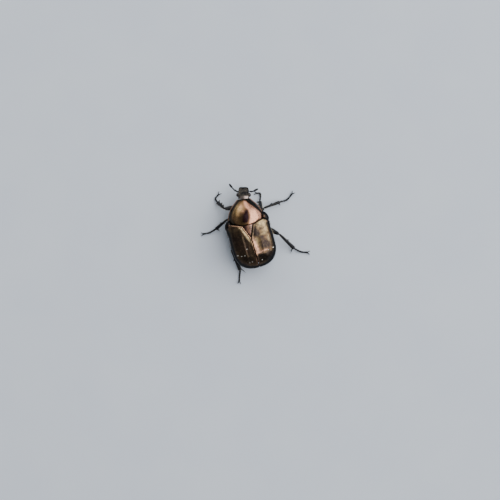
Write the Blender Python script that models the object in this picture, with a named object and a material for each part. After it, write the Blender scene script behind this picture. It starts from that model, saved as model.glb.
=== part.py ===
# Rose chafer, Cetonia aurata: a still, life-size model of the whole beetle standing with its legs
# spread and its front half turned a little to its right.
#
# Lengths are millimetres. A place on the beetle is (forward, right, up): forward and right are
# counted from the tip of the scutellum, up from the floor. In the finished part the head points
# along -Y, the beetle's left is +X, and the origin is under the middle of its box.

import math

import bmesh
import bpy
from mathutils import Matrix, Vector

MM = 0.001
GAP = 0.3                      # between neighbouring pieces
PLATE = 0.55                   # thickness of a wing case

# Wing cases and the body under them
HALF_WIDTH = 4.85
SHOULDER_SWELL = 0.10
WAIST = 0.08
TAIL_START = -2.0              # where the outline begins to round off towards the tail
TAIL_LENGTH = 5.05
TAIL_POWER = 2.5               # roundness of the tail seen from above
ARCH_POWER = 2.6               # roundness of the back seen from the front
STRAIGHT_SHARE = 9 / 16        # share of a wing case's rows that lie before the tail
RIDGE_HEIGHT = 7.7
MARGIN_HEIGHT = 4.35
MARGIN_SLOPE = 0.06
SINUS = 0.45                   # rise of the wing case's edge behind the shoulder
BASE_EDGE = {-1: 2.54, 1: 2.34}    # front edge of the left and right wing case by the scutellum
BASE_RISE = {-1: 0.40, 1: 0.26}
BELLY_HEIGHT = 1.7
BELLY_POWER = 2.2
CORE_INSET = PLATE + GAP + 0.15

# Scutellum
SCUTELLUM_LENGTH = 2.45
SCUTELLUM_HALF_WIDTH = 1.0
SCUTELLUM_DEPTH = 0.55

# Front part of the body, turned about a pivot between the wing cases and the pronotum
PIVOT = (3.2, -0.12)
PRONOTUM_YAW = math.radians(9)
PRONOTUM_LENGTH = 5.3
PRONOTUM_WIDEST = 1.2
PRONOTUM_HALF_WIDTH = 3.92
PRONOTUM_FRONT_HALF_WIDTH = 1.45
PRONOTUM_BASE = -0.5
PRONOTUM_BASE_SWEEP = 1.0      # how far the base's corners lie ahead of its middle
PRONOTUM_BASE_SKEW = 0.22      # the base's right corner lies further ahead than its left one
PRONOTUM_TAPER = 1.75
PRONOTUM_POWER = 2.3

# Head
NECK = (8.80, 0.84)
HEAD_YAW = math.radians(16)
HEAD_LENGTH = 2.3
HEAD_HALF_WIDTH = 1.34
CLYPEUS_HALF_WIDTH = 1.08
CLYPEUS_START = 0.98
CLYPEUS_NOTCH = 0.18
CLYPEUS_RIM = 0.10
HEAD_HEIGHT = 3.75
HEAD_DROP = 0.95
EYE_PLACE = (0.55, 1.27)
EYE_RADII = (0.44, 0.36, 0.50)
EYE_GAP = 0.2

# Legs: hip, an optional bow, knee, ankle, the long spur's tip, and the foot's arch and tip
LEGS = {
    "front_left": {"hip": (7.15, -1.62, 2.10), "knee": (7.55, -3.80, 2.95), "ankle": (9.40, -5.05, 0.85),
                   "spur": (9.58, -4.45), "arch": (10.35, -5.25), "tip": (11.05, -4.30),
                   "side": -1, "pair": "front"},
    "front_right": {"hip": (6.00, 2.13, 2.05), "knee": (5.50, 3.50, 2.45),
                    "ankle": (6.95, 4.05, 0.85), "spur": (7.28, 3.40), "arch": (8.48, 4.60),
                    "tip": (8.90, 3.68), "side": 1, "pair": "front"},
    "mid_left": {"hip": (3.85, -2.08, 1.45), "knee": (5.20, -3.75, 2.60), "ankle": (3.77, -7.05, 0.80),
                 "spur": (3.03, -6.32), "arch": (3.42, -8.60), "tip": (3.51, -10.00),
                 "side": -1, "pair": "mid"},
    "mid_right": {"hip": (3.85, 2.08, 1.40), "knee": (5.26, 4.38, 1.85), "ankle": (5.65, 8.34, 0.80),
                  "spur": (4.80, 8.17), "arch": (5.72, 10.03), "tip": (6.70, 11.50),
                  "side": 1, "pair": "mid"},
    "hind_left": {"hip": (0.50, -1.30, 0.98), "bow": (-0.20, -3.40, 1.35), "knee": (-1.45, -4.90, 2.50),
                  "ankle": (-6.50, -4.34, 0.85), "spur": (-7.46, -3.22), "arch": (-7.75, -4.85),
                  "tip": (-8.90, -5.25), "side": -1, "pair": "hind"},
    "hind_right": {"hip": (0.35, 2.20, 1.00), "bow": (0.45, 4.10, 1.60), "knee": (-1.15, 6.15, 2.70),
                   "ankle": (-5.20, 8.55, 0.85), "spur": (-6.06, 7.41), "arch": (-6.28, 9.78),
                   "tip": (-6.85, 11.15), "side": 1, "pair": "hind"},
}
# Widths as seen from above and depths, in millimetres, along each part of a leg
LEG_SIZES = {
    "front": {"femur": (1.00, 0.75), "tibia": (0.55, 0.95), "foot": 0.50},
    "mid": {"femur": (1.05, 0.75), "tibia": (0.52, 0.80), "foot": 0.50},
    "hind": {"femur": (1.35, 0.80), "tibia": (0.60, 0.95), "foot": 0.50},
}
# Teeth on the outer side of the shin: share of its length and how far each stands out
TIBIA_TEETH = {"front": ((0.84, 0.42), (0.54, 0.36), (0.30, 0.22)), "mid": ((0.55, 0.22),),
               "hind": ((0.55, 0.25),)}
SPUR_TIP_HEIGHT = 0.35
FOLDED = -0.3                  # below this cosine a shin lies back against its thigh
FOOT_JOINTS = (0.0, 0.17, 0.34, 0.50, 0.66, 1.0)
FOOT_SEGMENT = ((0.0, 0.88), (0.70, 1.12), (0.94, 1.0))    # place along a segment and thickness
CLAW_LENGTH = 0.80
CLAW_SPREAD = math.radians(34)
CLAW_SHAPE = ((0.0, 0.0, 0.36), (0.40, 0.10, 0.29), (0.75, 0.06, 0.20), (1.0, -0.08, 0.08))

# Feelers: root, elbow and the two ends of the club
FEELERS = {
    "left": {"root": (10.42, -0.16, 2.98), "elbow": (10.98, -0.72, 3.08), "joint": (11.42, -0.93, 3.00),
             "club": (12.58, -1.42, 2.80)},
    "right": {"root": (9.70, 2.56, 2.95), "elbow": (9.50, 2.98, 3.05), "joint": (9.55, 3.30, 3.00),
              "club": (9.74, 4.49, 2.80)},
}
FEELER_THICKNESS = 0.5
CLUB_LEAVES = 3
CLUB_LEAF = (0.25, 0.15)       # half width and half thickness of one leaf of the club
CLUB_FAN = math.radians(9)

# Colours, roughness and metallic value of each finish
FINISHES = {
    "copper_shell": ((0.42, 0.22, 0.12), 0.30, 0.85),
    "bronze_shell": ((0.20, 0.12, 0.07), 0.32, 0.85),
    "dark_underside": ((0.10, 0.07, 0.05), 0.40, 0.60),
    "black_leg": ((0.03, 0.03, 0.035), 0.38, 0.40),
    "dark_head": ((0.07, 0.06, 0.05), 0.40, 0.60),
    "eye": ((0.015, 0.012, 0.01), 0.20, 0.0),
}


def clear_scene():
    for item in list(bpy.data.objects):
        bpy.data.objects.remove(item, do_unlink=True)


def make_collection(name):
    group = bpy.data.collections.new(name)
    bpy.context.scene.collection.children.link(group)
    return group


def make_finish(node, kind):
    colour, roughness, metallic = FINISHES[kind]
    finish = bpy.data.materials.new(f"{node}_{kind}")
    finish.use_nodes = True
    shader = finish.node_tree.nodes["Principled BSDF"]
    shader.inputs["Base Color"].default_value = (*colour, 1.0)
    shader.inputs["Roughness"].default_value = roughness
    shader.inputs["Metallic"].default_value = metallic
    return finish


def at(forward, right, up):
    return Vector((-right, -forward, up)) * MM


def turned(pivot, yaw, forward, right, up):
    # a place in a part that is turned by yaw, towards the beetle's right, about a pivot
    return at(pivot[0] + forward * math.cos(yaw) - right * math.sin(yaw),
              pivot[1] + forward * math.sin(yaw) + right * math.cos(yaw), up)


def bump(value, centre, width):
    return math.exp(-((value - centre) / width) ** 2)


def blend(start, end, share):
    return start + (end - start) * share


def power_arc(angle, power):
    # sine and cosine of a superellipse
    return (math.copysign(abs(math.sin(angle)) ** (2 / power), math.sin(angle)),
            math.copysign(abs(math.cos(angle)) ** (2 / power), math.cos(angle)))


def finish_object(name, mesh_data, kind, smooth_angle=35):
    mesh = bpy.data.meshes.new(name)
    mesh_data.to_mesh(mesh)
    mesh_data.free()
    mesh.materials.append(make_finish(name, kind))
    mesh.shade_smooth()
    mesh.set_sharp_from_angle(angle=math.radians(smooth_angle))
    piece = bpy.data.objects.new(name, mesh)
    parts.objects.link(piece)
    return piece


def loft(name, rings, kind):
    # closed form through rings of points, with a flat face at each end
    form = bmesh.new()
    loops = [[form.verts.new(point) for point in ring] for ring in rings]
    for first, second in zip(loops, loops[1:]):
        for k, vertex in enumerate(first):
            after = (k + 1) % len(first)
            form.faces.new((vertex, first[after], second[after], second[k]))
    form.faces.new(loops[0][::-1])
    form.faces.new(loops[-1])
    bmesh.ops.recalc_face_normals(form, faces=form.faces)
    return finish_object(name, form, kind)


def pillow(name, columns, rows, upper, lower, kind):
    # closed form between an upper and a lower surface, both given over (across, along) from 0 to 1
    form = bmesh.new()
    sheets = []
    for surface in (upper, lower):
        sheets.append([[form.verts.new(surface(i / columns, j / rows)) for i in range(columns + 1)]
                       for j in range(rows + 1)])
    top, bottom = sheets
    for j in range(rows):
        for i in range(columns):
            form.faces.new((top[j][i], top[j][i + 1], top[j + 1][i + 1], top[j + 1][i]))
            form.faces.new((bottom[j][i], bottom[j + 1][i], bottom[j + 1][i + 1], bottom[j][i + 1]))
    rim = [(0, i) for i in range(columns)] + [(j, columns) for j in range(rows)]
    rim += [(rows, i) for i in range(columns, 0, -1)] + [(j, 0) for j in range(rows, 0, -1)]
    for (j, i), (l, k) in zip(rim, rim[1:] + rim[:1]):
        form.faces.new((top[j][i], bottom[j][i], bottom[l][k], top[l][k]))
    bmesh.ops.remove_doubles(form, verts=form.verts, dist=0.00001)
    bmesh.ops.dissolve_degenerate(form, edges=form.edges, dist=0.00001)
    bmesh.ops.recalc_face_normals(form, faces=form.faces)
    return finish_object(name, form, kind)


def point_along(path, share):
    place = share * (len(path) - 1)
    k = min(int(place), len(path) - 2)
    return path[k].lerp(path[k + 1], place - k)


def smooth_path(points, steps):
    # a Catmull-Rom curve through the points, sampled evenly between each two of them
    ends = [points[0] * 2 - points[1]] + list(points) + [points[-1] * 2 - points[-2]]
    path = []
    for before, start, end, after in zip(ends, ends[1:], ends[2:], ends[3:]):
        for k in range(steps):
            t = k / steps
            path.append(0.5 * (2 * start + (end - before) * t
                               + (2 * before - 5 * start + 4 * end - after) * t * t
                               + (3 * start - before - 3 * end + after) * t ** 3))
    path.append(points[-1].copy())
    return path


def limb(name, path, sizes, sides, kind, facing=(None, None), floor=False):
    # tube along a path, with its width and depth in millimetres at each point; its end faces are
    # square to it unless they are given a way to face
    rings = []
    last = len(path) - 1
    for k, centre in enumerate(path):
        ahead = (path[min(k + 1, last)] - path[max(k - 1, 0)]).normalized()
        across = ahead.cross(Vector((0, 0, 1))).normalized()
        end = facing[0] if k == 0 else facing[1] if k == last else None
        slant = end if end is not None else ahead
        upward = across.cross(ahead)
        width, depth = sizes[k]
        ring = []
        for side in range(sides):
            angle = 2 * math.pi * (side + 0.5) / sides
            point = (across * math.cos(angle) * width + upward * math.sin(angle) * depth) / 2 * MM
            point += centre - ahead * point.dot(slant) / ahead.dot(slant)
            if floor:
                point.z = max(point.z, 0.0)
            ring.append(point)
        rings.append(ring)
    return loft(name, rings, kind)


def ellipsoid(name, centre, radii, yaw, kind, segments=14, rings=8):
    # rounded form; radii are along, across and up, and yaw turns it towards the beetle's right
    form = bmesh.new()
    bmesh.ops.create_uvsphere(form, u_segments=segments, v_segments=rings, radius=1.0)
    across, along, up = radii[1], radii[0], radii[2]
    bmesh.ops.scale(form, verts=form.verts, vec=Vector((across, along, up)) * MM)
    bmesh.ops.rotate(form, verts=form.verts, cent=(0, 0, 0), matrix=Matrix.Rotation(-yaw, 3, "Z"))
    bmesh.ops.translate(form, verts=form.verts, vec=centre)
    return finish_object(name, form, kind, 60)


def spine(root, tip, radius, sides=6):
    # one tapered spine whose root lies inside the piece that it grows from
    form = bmesh.new()
    length = (tip - root).length
    bmesh.ops.create_cone(form, cap_ends=True, segments=sides, radius1=radius * MM,
                          radius2=radius * 0.25 * MM, depth=length)
    turn = Vector((0, 0, 1)).rotation_difference(tip - root).to_matrix()
    bmesh.ops.rotate(form, verts=form.verts, cent=(0, 0, 0), matrix=turn)
    bmesh.ops.translate(form, verts=form.verts, vec=(root + tip) / 2)
    return finish_object("spine", form, "black_leg")


def claw(root, heading, side):
    # hooked claw: leaves the foot level and bends down to the floor
    ahead = Matrix.Rotation(-side * CLAW_SPREAD, 3, "Z") @ heading
    path, sizes = [], []
    for along, lift, thickness in CLAW_SHAPE:
        point = root + ahead * along * CLAW_LENGTH * MM
        point.z = max(point.z + lift * MM, thickness / 2 * MM)
        path.append(point)
        sizes.append((thickness, thickness))
    return limb("claw", path, sizes, 6, "black_leg")


def apply_modifiers(piece):
    depsgraph = bpy.context.evaluated_depsgraph_get()
    done = bpy.data.meshes.new_from_object(piece.evaluated_get(depsgraph))
    piece.modifiers.clear()
    old = piece.data
    piece.data = done
    bpy.data.meshes.remove(old)


def keep_largest(piece):
    # a node is one closed body, so any loose scrap of a union or a cut is dropped
    form = bmesh.new()
    form.from_mesh(piece.data)
    left = set(form.verts)
    bodies = []
    while left:
        stack = [left.pop()]
        body = set(stack)
        while stack:
            for edge in stack.pop().link_edges:
                for vertex in edge.verts:
                    if vertex in left:
                        left.discard(vertex)
                        body.add(vertex)
                        stack.append(vertex)
        bodies.append(body)
    bodies.sort(key=len)
    loose = [vertex for body in bodies[:-1] for vertex in body]
    bmesh.ops.delete(form, geom=loose, context="VERTS")
    form.to_mesh(piece.data)
    form.free()


def combine(piece, others, operation):
    # one Boolean of the piece with a collection of closed meshes, applied, the others removed
    group = bpy.data.collections.new("cutters")
    bpy.context.scene.collection.children.link(group)
    for other in others:
        parts.objects.unlink(other)
        group.objects.link(other)
        other.hide_render = True
        other.display_type = "WIRE"
    cut = piece.modifiers.new(operation.lower(), "BOOLEAN")
    cut.operation = operation
    cut.operand_type = "COLLECTION"
    cut.collection = group
    cut.solver = "EXACT"
    apply_modifiers(piece)
    for other in others:
        bpy.data.objects.remove(other, do_unlink=True)
    bpy.data.collections.remove(group)
    keep_largest(piece)


# The back: outline, edge and arch of the wing cases, which the body under them follows

def shell_half_width(forward):
    return HALF_WIDTH + SHOULDER_SWELL * bump(forward, 2.6, 1.1) - WAIST * bump(forward, 0.6, 1.0)


def margin_height(forward):
    return MARGIN_HEIGHT + MARGIN_SLOPE * forward + SINUS * bump(forward, 0.3, 1.0)


def ridge_height(forward):
    return RIDGE_HEIGHT - 0.012 * (forward + 0.5) ** 2


def tail_share(forward, inset):
    return max(0.0, (TAIL_START - forward) / (TAIL_LENGTH - inset))


def outline_half_width(forward, inset=0.0):
    share = min(1.0, tail_share(forward, inset))
    return (shell_half_width(forward) - inset) * (1 - share ** TAIL_POWER) ** (1 / TAIL_POWER)


def back_height(forward, right, inset=0.0):
    width = shell_half_width(forward) - inset
    reach = ((abs(right) / width) ** TAIL_POWER + tail_share(forward, inset) ** TAIL_POWER)
    reach = min(1.0, reach ** (1 / TAIL_POWER))
    arch = (1 - reach ** ARCH_POWER) ** (1 / ARCH_POWER)
    return blend(margin_height(forward), ridge_height(forward) - inset, arch)


def belly_height(forward):
    rise = max(0.0, -1.0 - forward)
    return BELLY_HEIGHT + 0.035 * rise ** 1.9 + 0.05 * max(0.0, forward - 1.5)


def shell_relief(forward, right):
    # raised seam and hollow beside it, a faint rib, the shoulder knob and the knob near the tail
    rear = min(1.0, max(0.0, (0.5 - forward) / 2.5))
    relief = 0.10 * rear * bump(right, GAP / 2, 0.35) - 0.12 * rear * bump(right, 1.0, 0.6)
    relief += 0.06 * bump(right, 2.1, 0.35)
    relief += 0.16 * bump(forward, 1.9, 0.8) * bump(right, 3.9, 0.6)
    relief += 0.22 * bump(forward, -5.2, 0.7) * bump(right, 2.5, 0.7)
    return relief


def front_edge(right, side):
    # front edge of a wing case: beside the scutellum, along the base, then round the shoulder
    corner = SCUTELLUM_HALF_WIDTH + 1.2 * GAP
    if right < corner:
        return blend(-1.4 * GAP, BASE_EDGE[side], (right - GAP / 2) / (corner - GAP / 2))
    base = BASE_EDGE[side] + BASE_RISE[side] * (min(right, 3.5) - corner)
    return base - 1.05 * max(0.0, (right - 3.5) / 1.45) ** 2


def elytron_place(across, along, side, inset):
    # rows cross the wing case as far as TAIL_START and then fan round the tail to the seam
    level, arch = power_arc(math.pi / 2 * across ** 1.25, ARCH_POWER)
    seam = GAP / 2
    if along <= STRAIGHT_SHARE:
        front = front_edge(seam + level * (HALF_WIDTH - seam), side)
        forward = blend(front, TAIL_START, along / STRAIGHT_SHARE)
        reach = 1.0
    else:
        turn = math.pi / 2 * (along - STRAIGHT_SHARE) / (1 - STRAIGHT_SHARE)
        back, reach = power_arc(turn, TAIL_POWER)
        forward = TAIL_START - level * (TAIL_LENGTH - inset) * back
    right = seam + level * (shell_half_width(forward) - seam - inset) * max(0.0, reach)
    up = blend(margin_height(forward), ridge_height(forward) - inset, arch)
    up += shell_relief(forward, right) * (1 - level ** 4)
    return at(forward, side * right, up)


def make_elytron(name, side):
    return pillow(name, 12, 16, lambda across, along: elytron_place(across, along, side, 0.0),
                  lambda across, along: elytron_place(across, along, side, PLATE),
                  "copper_shell" if side > 0 else "bronze_shell")


def make_scutellum():
    def surface(drop):
        def place(across, along):
            forward = SCUTELLUM_LENGTH * along
            width = SCUTELLUM_HALF_WIDTH * along
            right = width * (2 * across - 1)
            return at(forward, right, back_height(forward, right) - 0.04 * right ** 2 - drop)
        return place
    return pillow("scutellum", 6, 6, surface(0.0), surface(SCUTELLUM_DEPTH), "copper_shell")


def body_ring(forward, top_half, side_height, half_width, bottom, turned_forward=None):
    # closed ring: over the top half given as (right, up) pairs, then round the belly
    steps = 8
    half = list(top_half)
    for k in range(steps + 1):
        down, out = power_arc(math.pi / 2 * k / steps, BELLY_POWER)
        half.append((half_width * out, blend(side_height, bottom, down)))
    half[-1] = (0.0, bottom)
    whole = half + [(-right, up) for right, up in reversed(half[1:-1])]
    if turned_forward is None:
        return [at(forward, right, up) for right, up in whole]
    return [turned(PIVOT, PRONOTUM_YAW, turned_forward, right, up) for right, up in whole]


def dome_half(forward, steps=7):
    # the part of the body that lies under the wing cases
    half = []
    width = outline_half_width(forward, CORE_INSET)
    for k in range(steps + 1):
        out, _ = power_arc(math.pi / 2 * 0.93 * k / steps, ARCH_POWER)
        right = width * out
        half.append((right, back_height(forward, right, CORE_INSET)))
    lowest = margin_height(forward) - GAP
    half.append((width, min(half[-1][1], lowest)))
    return half


def neck_half(width, top, steps=8):
    half = []
    for k in range(steps + 1):
        out, high = power_arc(math.pi / 2 * k / steps, 3.0)
        half.append((width * out, blend(top - 0.6, top, high)))
    return half


def make_thorax():
    rings = [body_ring(0, neck_half(2.5, 3.85), 3.1, 2.5, 2.2, turned_forward=1.15),
             body_ring(3.5, neck_half(3.6, 3.9), 3.1, 3.6, 1.95),
             body_ring(2.3, neck_half(4.4, 3.9), 3.2, 4.4, 1.8)]
    for forward in (1.9, 1.65):
        side = margin_height(forward) - GAP - 0.05
        rings.append(body_ring(forward, dome_half(forward), side,
                               outline_half_width(forward) - 0.15, belly_height(forward)))
    piece = loft("thorax", rings, "dark_underside")
    knob = ellipsoid("knob", at(4.15, 0.0, 1.85), (0.80, 0.55, 0.40), 0.0, "dark_underside")
    combine(piece, [knob], "UNION")
    return piece


def make_abdomen():
    # the hind hips lie against the front of the belly, so it is drawn in there
    hips_end, sternites, last = -1.15, 5, -5.9
    stations = [(1.35, GAP + 0.65), (0.2, GAP + 0.65), (hips_end, GAP + 0.65)]
    length = (last - hips_end) / sternites
    for k in range(sternites):
        stations.append((hips_end + length * k - 0.06, 0.12))
        stations.append((hips_end + length * (k + 0.9), 0.0))
    stations.append((last, 0.12))
    rings = []
    for forward, inset in stations:
        side = margin_height(forward) - GAP - 0.05
        rings.append(body_ring(forward, dome_half(forward), side,
                               outline_half_width(forward) - 0.15 - inset,
                               belly_height(forward) + inset))
    return loft("abdomen", rings, "dark_underside")


def make_hind_coxa(name, side):
    # the hind hip is a broad plate from the middle of the belly up to the wing case's edge
    front, back, thickness = 1.35, -0.85, 0.6

    def surface(inset):
        def place(across, along):
            forward = blend(front, back, along)
            height = margin_height(forward) - GAP - 0.05
            down, out = power_arc(math.pi / 2 * blend(0.985, 0.0, across), BELLY_POWER)
            corner = 0.22 * along ** 3 * bump(across, 1.0, 0.35)
            right = (outline_half_width(forward) - 0.15 - inset) * out + corner
            up = blend(height, belly_height(forward) + inset, down)
            return at(forward - 0.15 * corner, side * (right + GAP / 2 * (1 - out)), up)
        return place
    return pillow(name, 9, 4, surface(0.0), surface(thickness), "dark_underside")


def make_pygidium():
    # the last back plate, which closes the tail under the wing cases
    front = -6.2

    def surface(bulge):
        def place(across, along):
            width = (outline_half_width(front) - 0.25) * (1 - 0.55 * (1 - along) ** 2)
            right = width * (2 * across - 1)
            top = margin_height(front) - GAP - 0.05
            up = blend(belly_height(front) + 0.10 * (right / width) ** 2 * (1 - along), top, along)
            roundness = max(0.0, 1 - (right / width) ** 2) * math.sin(math.pi * (0.15 + 0.7 * along))
            return at(front - bulge * (0.25 + 0.75 * roundness), right, up)
        return place
    return pillow("pygidium", 10, 6, surface(0.62), surface(0.0), "bronze_shell")


# The front part of the body

def pronotum_half_width(forward):
    if forward < PRONOTUM_WIDEST:
        return PRONOTUM_HALF_WIDTH * math.sqrt(1 - ((PRONOTUM_WIDEST - forward) / 2.8) ** 2)
    share = (forward - PRONOTUM_WIDEST) / (PRONOTUM_LENGTH - PRONOTUM_WIDEST)
    drop = PRONOTUM_HALF_WIDTH - PRONOTUM_FRONT_HALF_WIDTH
    return PRONOTUM_HALF_WIDTH - drop * share ** PRONOTUM_TAPER


def pronotum_edge_height(forward):
    return 4.45 - 0.17 * forward


def pronotum_ridge_height(forward):
    return 7.45 - 0.075 * max(0.0, forward) ** 2 - 0.10 * max(0.0, -forward)


def pronotum_place(across, along, top, grow=0.0):
    turn = math.pi / 2 * (2 * across - 1)
    out, arch = power_arc(turn, PRONOTUM_POWER)
    base = PRONOTUM_BASE + PRONOTUM_BASE_SWEEP * out ** 2 + PRONOTUM_BASE_SKEW * out
    base += 0.10 * bump(out, 0.0, 0.25)
    forward = blend(base, PRONOTUM_LENGTH, along)
    right = out * (pronotum_half_width(forward) + grow)
    low = pronotum_edge_height(forward) - grow
    up = blend(low, pronotum_ridge_height(forward) + grow, arch) if top else low
    return turned(PIVOT, PRONOTUM_YAW, forward - grow * (1 - 2 * along), right, up)


def make_pronotum(name="pronotum", grow=0.0):
    return pillow(name, 14, 9, lambda across, along: pronotum_place(across, along, True, grow),
                  lambda across, along: pronotum_place(across, along, False, grow), "copper_shell")


def make_prosternum():
    # underside of the front part: flat sides that rise outwards from a keel between the hips
    start, end = 1.5, 5.28

    def surface(top):
        def place(across, along):
            forward = blend(start, end, along)
            out = 2 * across - 1
            right = out * (pronotum_half_width(forward) - 0.12)
            low = pronotum_edge_height(forward)
            keel = blend(2.5, 2.75, along)
            up = low - GAP if top else blend(keel, low - GAP, abs(out) ** 1.3)
            return turned(PIVOT, PRONOTUM_YAW, forward, right, up)
        return place
    return pillow("prosternum", 12, 6, surface(True), surface(False), "dark_underside")


def make_mesepimeron(name, side):
    # the wedge that shows between the pronotum's hind corner and the wing case's shoulder
    piece = ellipsoid(name, at(3.45, side * 4.02, 4.30), (1.35, 0.92, 0.75), side * -0.38,
                      "bronze_shell", segments=18, rings=10)
    form = bmesh.new()
    form.from_mesh(piece.data)
    floor_cut = (at(0, 0, 3.9 + GAP), Vector((0, 0, -1)))
    shoulder = at(front_edge(3.5, side) + 1.5 * GAP, side * 3.5, 4.5)
    base_cut = (shoulder, at(-0.78, side * -0.62, 0).normalized())
    for point, outward in (floor_cut, base_cut):
        flat = bmesh.ops.bisect_plane(form, geom=form.verts[:] + form.edges[:] + form.faces[:],
                                      plane_co=point, plane_no=outward, clear_outer=True)
        rim = [item for item in flat["geom_cut"] if isinstance(item, bmesh.types.BMEdge)]
        bmesh.ops.edgeloop_fill(form, edges=rim)
    bmesh.ops.recalc_face_normals(form, faces=form.faces)
    form.to_mesh(piece.data)
    form.free()
    combine(piece, [make_pronotum("pronotum_room", GAP)], "DIFFERENCE")


# Head, eyes, mouth and feelers

def head_at(forward, right, up):
    # heights fall towards the front, because the head hangs forward
    return turned(NECK, HEAD_YAW, forward, right, HEAD_HEIGHT + up - HEAD_DROP * forward / HEAD_LENGTH)


def head_half_width(forward):
    pinch = 0.08 * bump(forward, CLYPEUS_START, 0.22)
    share = min(1.0, max(0.0, (forward - 0.6) / 0.45))
    clypeus = CLYPEUS_HALF_WIDTH - 0.10 * bump(forward, HEAD_LENGTH, 0.25)
    return blend(HEAD_HALF_WIDTH, clypeus, share) - pinch


def head_place(across, along, top):
    turn = math.pi / 2 * (2 * across - 1)
    out, arch = power_arc(turn, 2.6)
    front = HEAD_LENGTH - CLYPEUS_NOTCH * bump(out, 0.0, 0.28) - 0.16 * abs(out) ** 6
    forward = front * along
    right = out * head_half_width(forward)
    plate = min(1.0, max(0.0, (forward - 0.5) / 0.7))
    if top:
        height = blend(0.85, 0.30, plate)
        rim = CLYPEUS_RIM * plate * max(abs(out) ** 8, bump(along, 1.0, 0.07))
        return head_at(forward, right, height * blend(arch, arch ** 0.35, plate) + rim * arch ** 0.2)
    depth = blend(1.0, 0.32, plate)
    return head_at(forward, right, -depth * arch ** 0.8)


def make_head():
    piece = pillow("head", 14, 12, lambda across, along: head_place(across, along, True),
                   lambda across, along: head_place(across, along, False), "dark_head")
    sockets = []
    for side in (-1, 1):
        sockets.append(make_eye(f"socket_{side}", side, EYE_GAP))
    combine(piece, sockets, "DIFFERENCE")
    return piece


def make_eye(name, side, extra=0.0):
    centre = head_at(EYE_PLACE[0], side * EYE_PLACE[1], 0.0)
    radii = [radius + extra for radius in EYE_RADII]
    return ellipsoid(name, centre, radii, HEAD_YAW, "eye", segments=12, rings=8)


def make_mouth():
    # the lower lip, a plate under the head with a groove down its middle
    def surface(top):
        def place(across, along):
            out = 2 * across - 1
            forward = blend(0.45, 1.5, along)
            right = out * blend(0.42, 0.60, math.sin(math.pi * along))
            sag = 0.42 * (1 - out ** 2) ** 0.5 if abs(out) < 1 else 0.0
            level = -1.0 * bump(forward, 0.2, 0.9) - 0.34 - GAP
            groove = 0.10 * bump(out, 0.0, 0.25)
            return head_at(forward, right, level if top else level - 0.14 - sag + groove)
        return place
    return pillow("lower_lip", 8, 4, surface(True), surface(False), "dark_head")


def make_palp(name, side):
    points = [head_at(1.15, side * 0.98, -0.80), head_at(1.5, side * 1.05, -0.92),
              head_at(1.9, side * 0.90, -0.98)]
    path = smooth_path(points, 3)
    sizes = [(blend(0.5, 0.42, k / (len(path) - 1)),) * 2 for k in range(len(path))]
    return limb(name, path, sizes, 6, "black_leg")


def make_feeler(side_name, facts):
    # a beaded stalk, and a club of flat leaves that lie over one another
    joint, tip = at(*facts["joint"]), at(*facts["club"])
    path = smooth_path([at(*facts["root"]), at(*facts["elbow"]), joint], 5)
    beads = [FEELER_THICKNESS * (1.10 if k % 2 else 0.96) for k in range(len(path))]
    club_ahead = (tip - joint).normalized()
    stalk_face = (path[-1] - path[-2]).normalized() + club_ahead
    stalk_face.normalize()
    limb(f"antenna_{side_name}", path, [(bead, bead) for bead in beads], 8, "black_leg",
         facing=(None, stalk_face))

    root = joint + stalk_face * GAP * MM
    across = club_ahead.cross(Vector((0, 0, 1))).normalized()
    leaves = []
    for k in range(CLUB_LEAVES):
        place = k - (CLUB_LEAVES - 1) / 2
        leaf_ahead = Matrix.Rotation(place * CLUB_FAN, 3, across) @ (tip - root)
        base = root + across.cross(club_ahead) * place * CLUB_LEAF[1] * MM
        stations = [base + leaf_ahead * step / 6 for step in range(7)]
        swells = [0.55 + 0.45 * math.sin(math.pi * (0.10 + 0.80 * step / 6)) ** 0.7 for step in range(7)]
        swells[-1] = 0.45
        sizes = [(2 * CLUB_LEAF[0] * swell, 2 * CLUB_LEAF[1] * swell) for swell in swells]
        leaves.append(limb(f"club_{side_name}" if k == 0 else "leaf", stations, sizes, 8, "black_leg"))
    combine(leaves[0], leaves[1:], "UNION")


# Legs

def make_front_and_mid_hips():
    hips = {"front_left": turned(PIVOT, PRONOTUM_YAW, 3.75, -0.95, 2.15),
            "front_right": turned(PIVOT, PRONOTUM_YAW, 3.75, 0.95, 2.15),
            "mid_left": at(3.1, -1.25, 1.75), "mid_right": at(3.1, 1.25, 1.75)}
    radii = {"front": (0.72, 0.72, 0.80), "mid": (0.66, 0.85, 0.62)}
    for name, centre in hips.items():
        pair = name.split("_")[0]
        carrier = prosternum if pair == "front" else thorax
        yaw = PRONOTUM_YAW if pair == "front" else 0.0
        ellipsoid(f"coxa_{name}", centre, radii[pair], yaw, "dark_underside", 12, 8)
        socket = ellipsoid("socket", centre, [r + GAP for r in radii[pair]], yaw, "dark_underside", 12, 8)
        combine(carrier, [socket], "DIFFERENCE")


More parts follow.
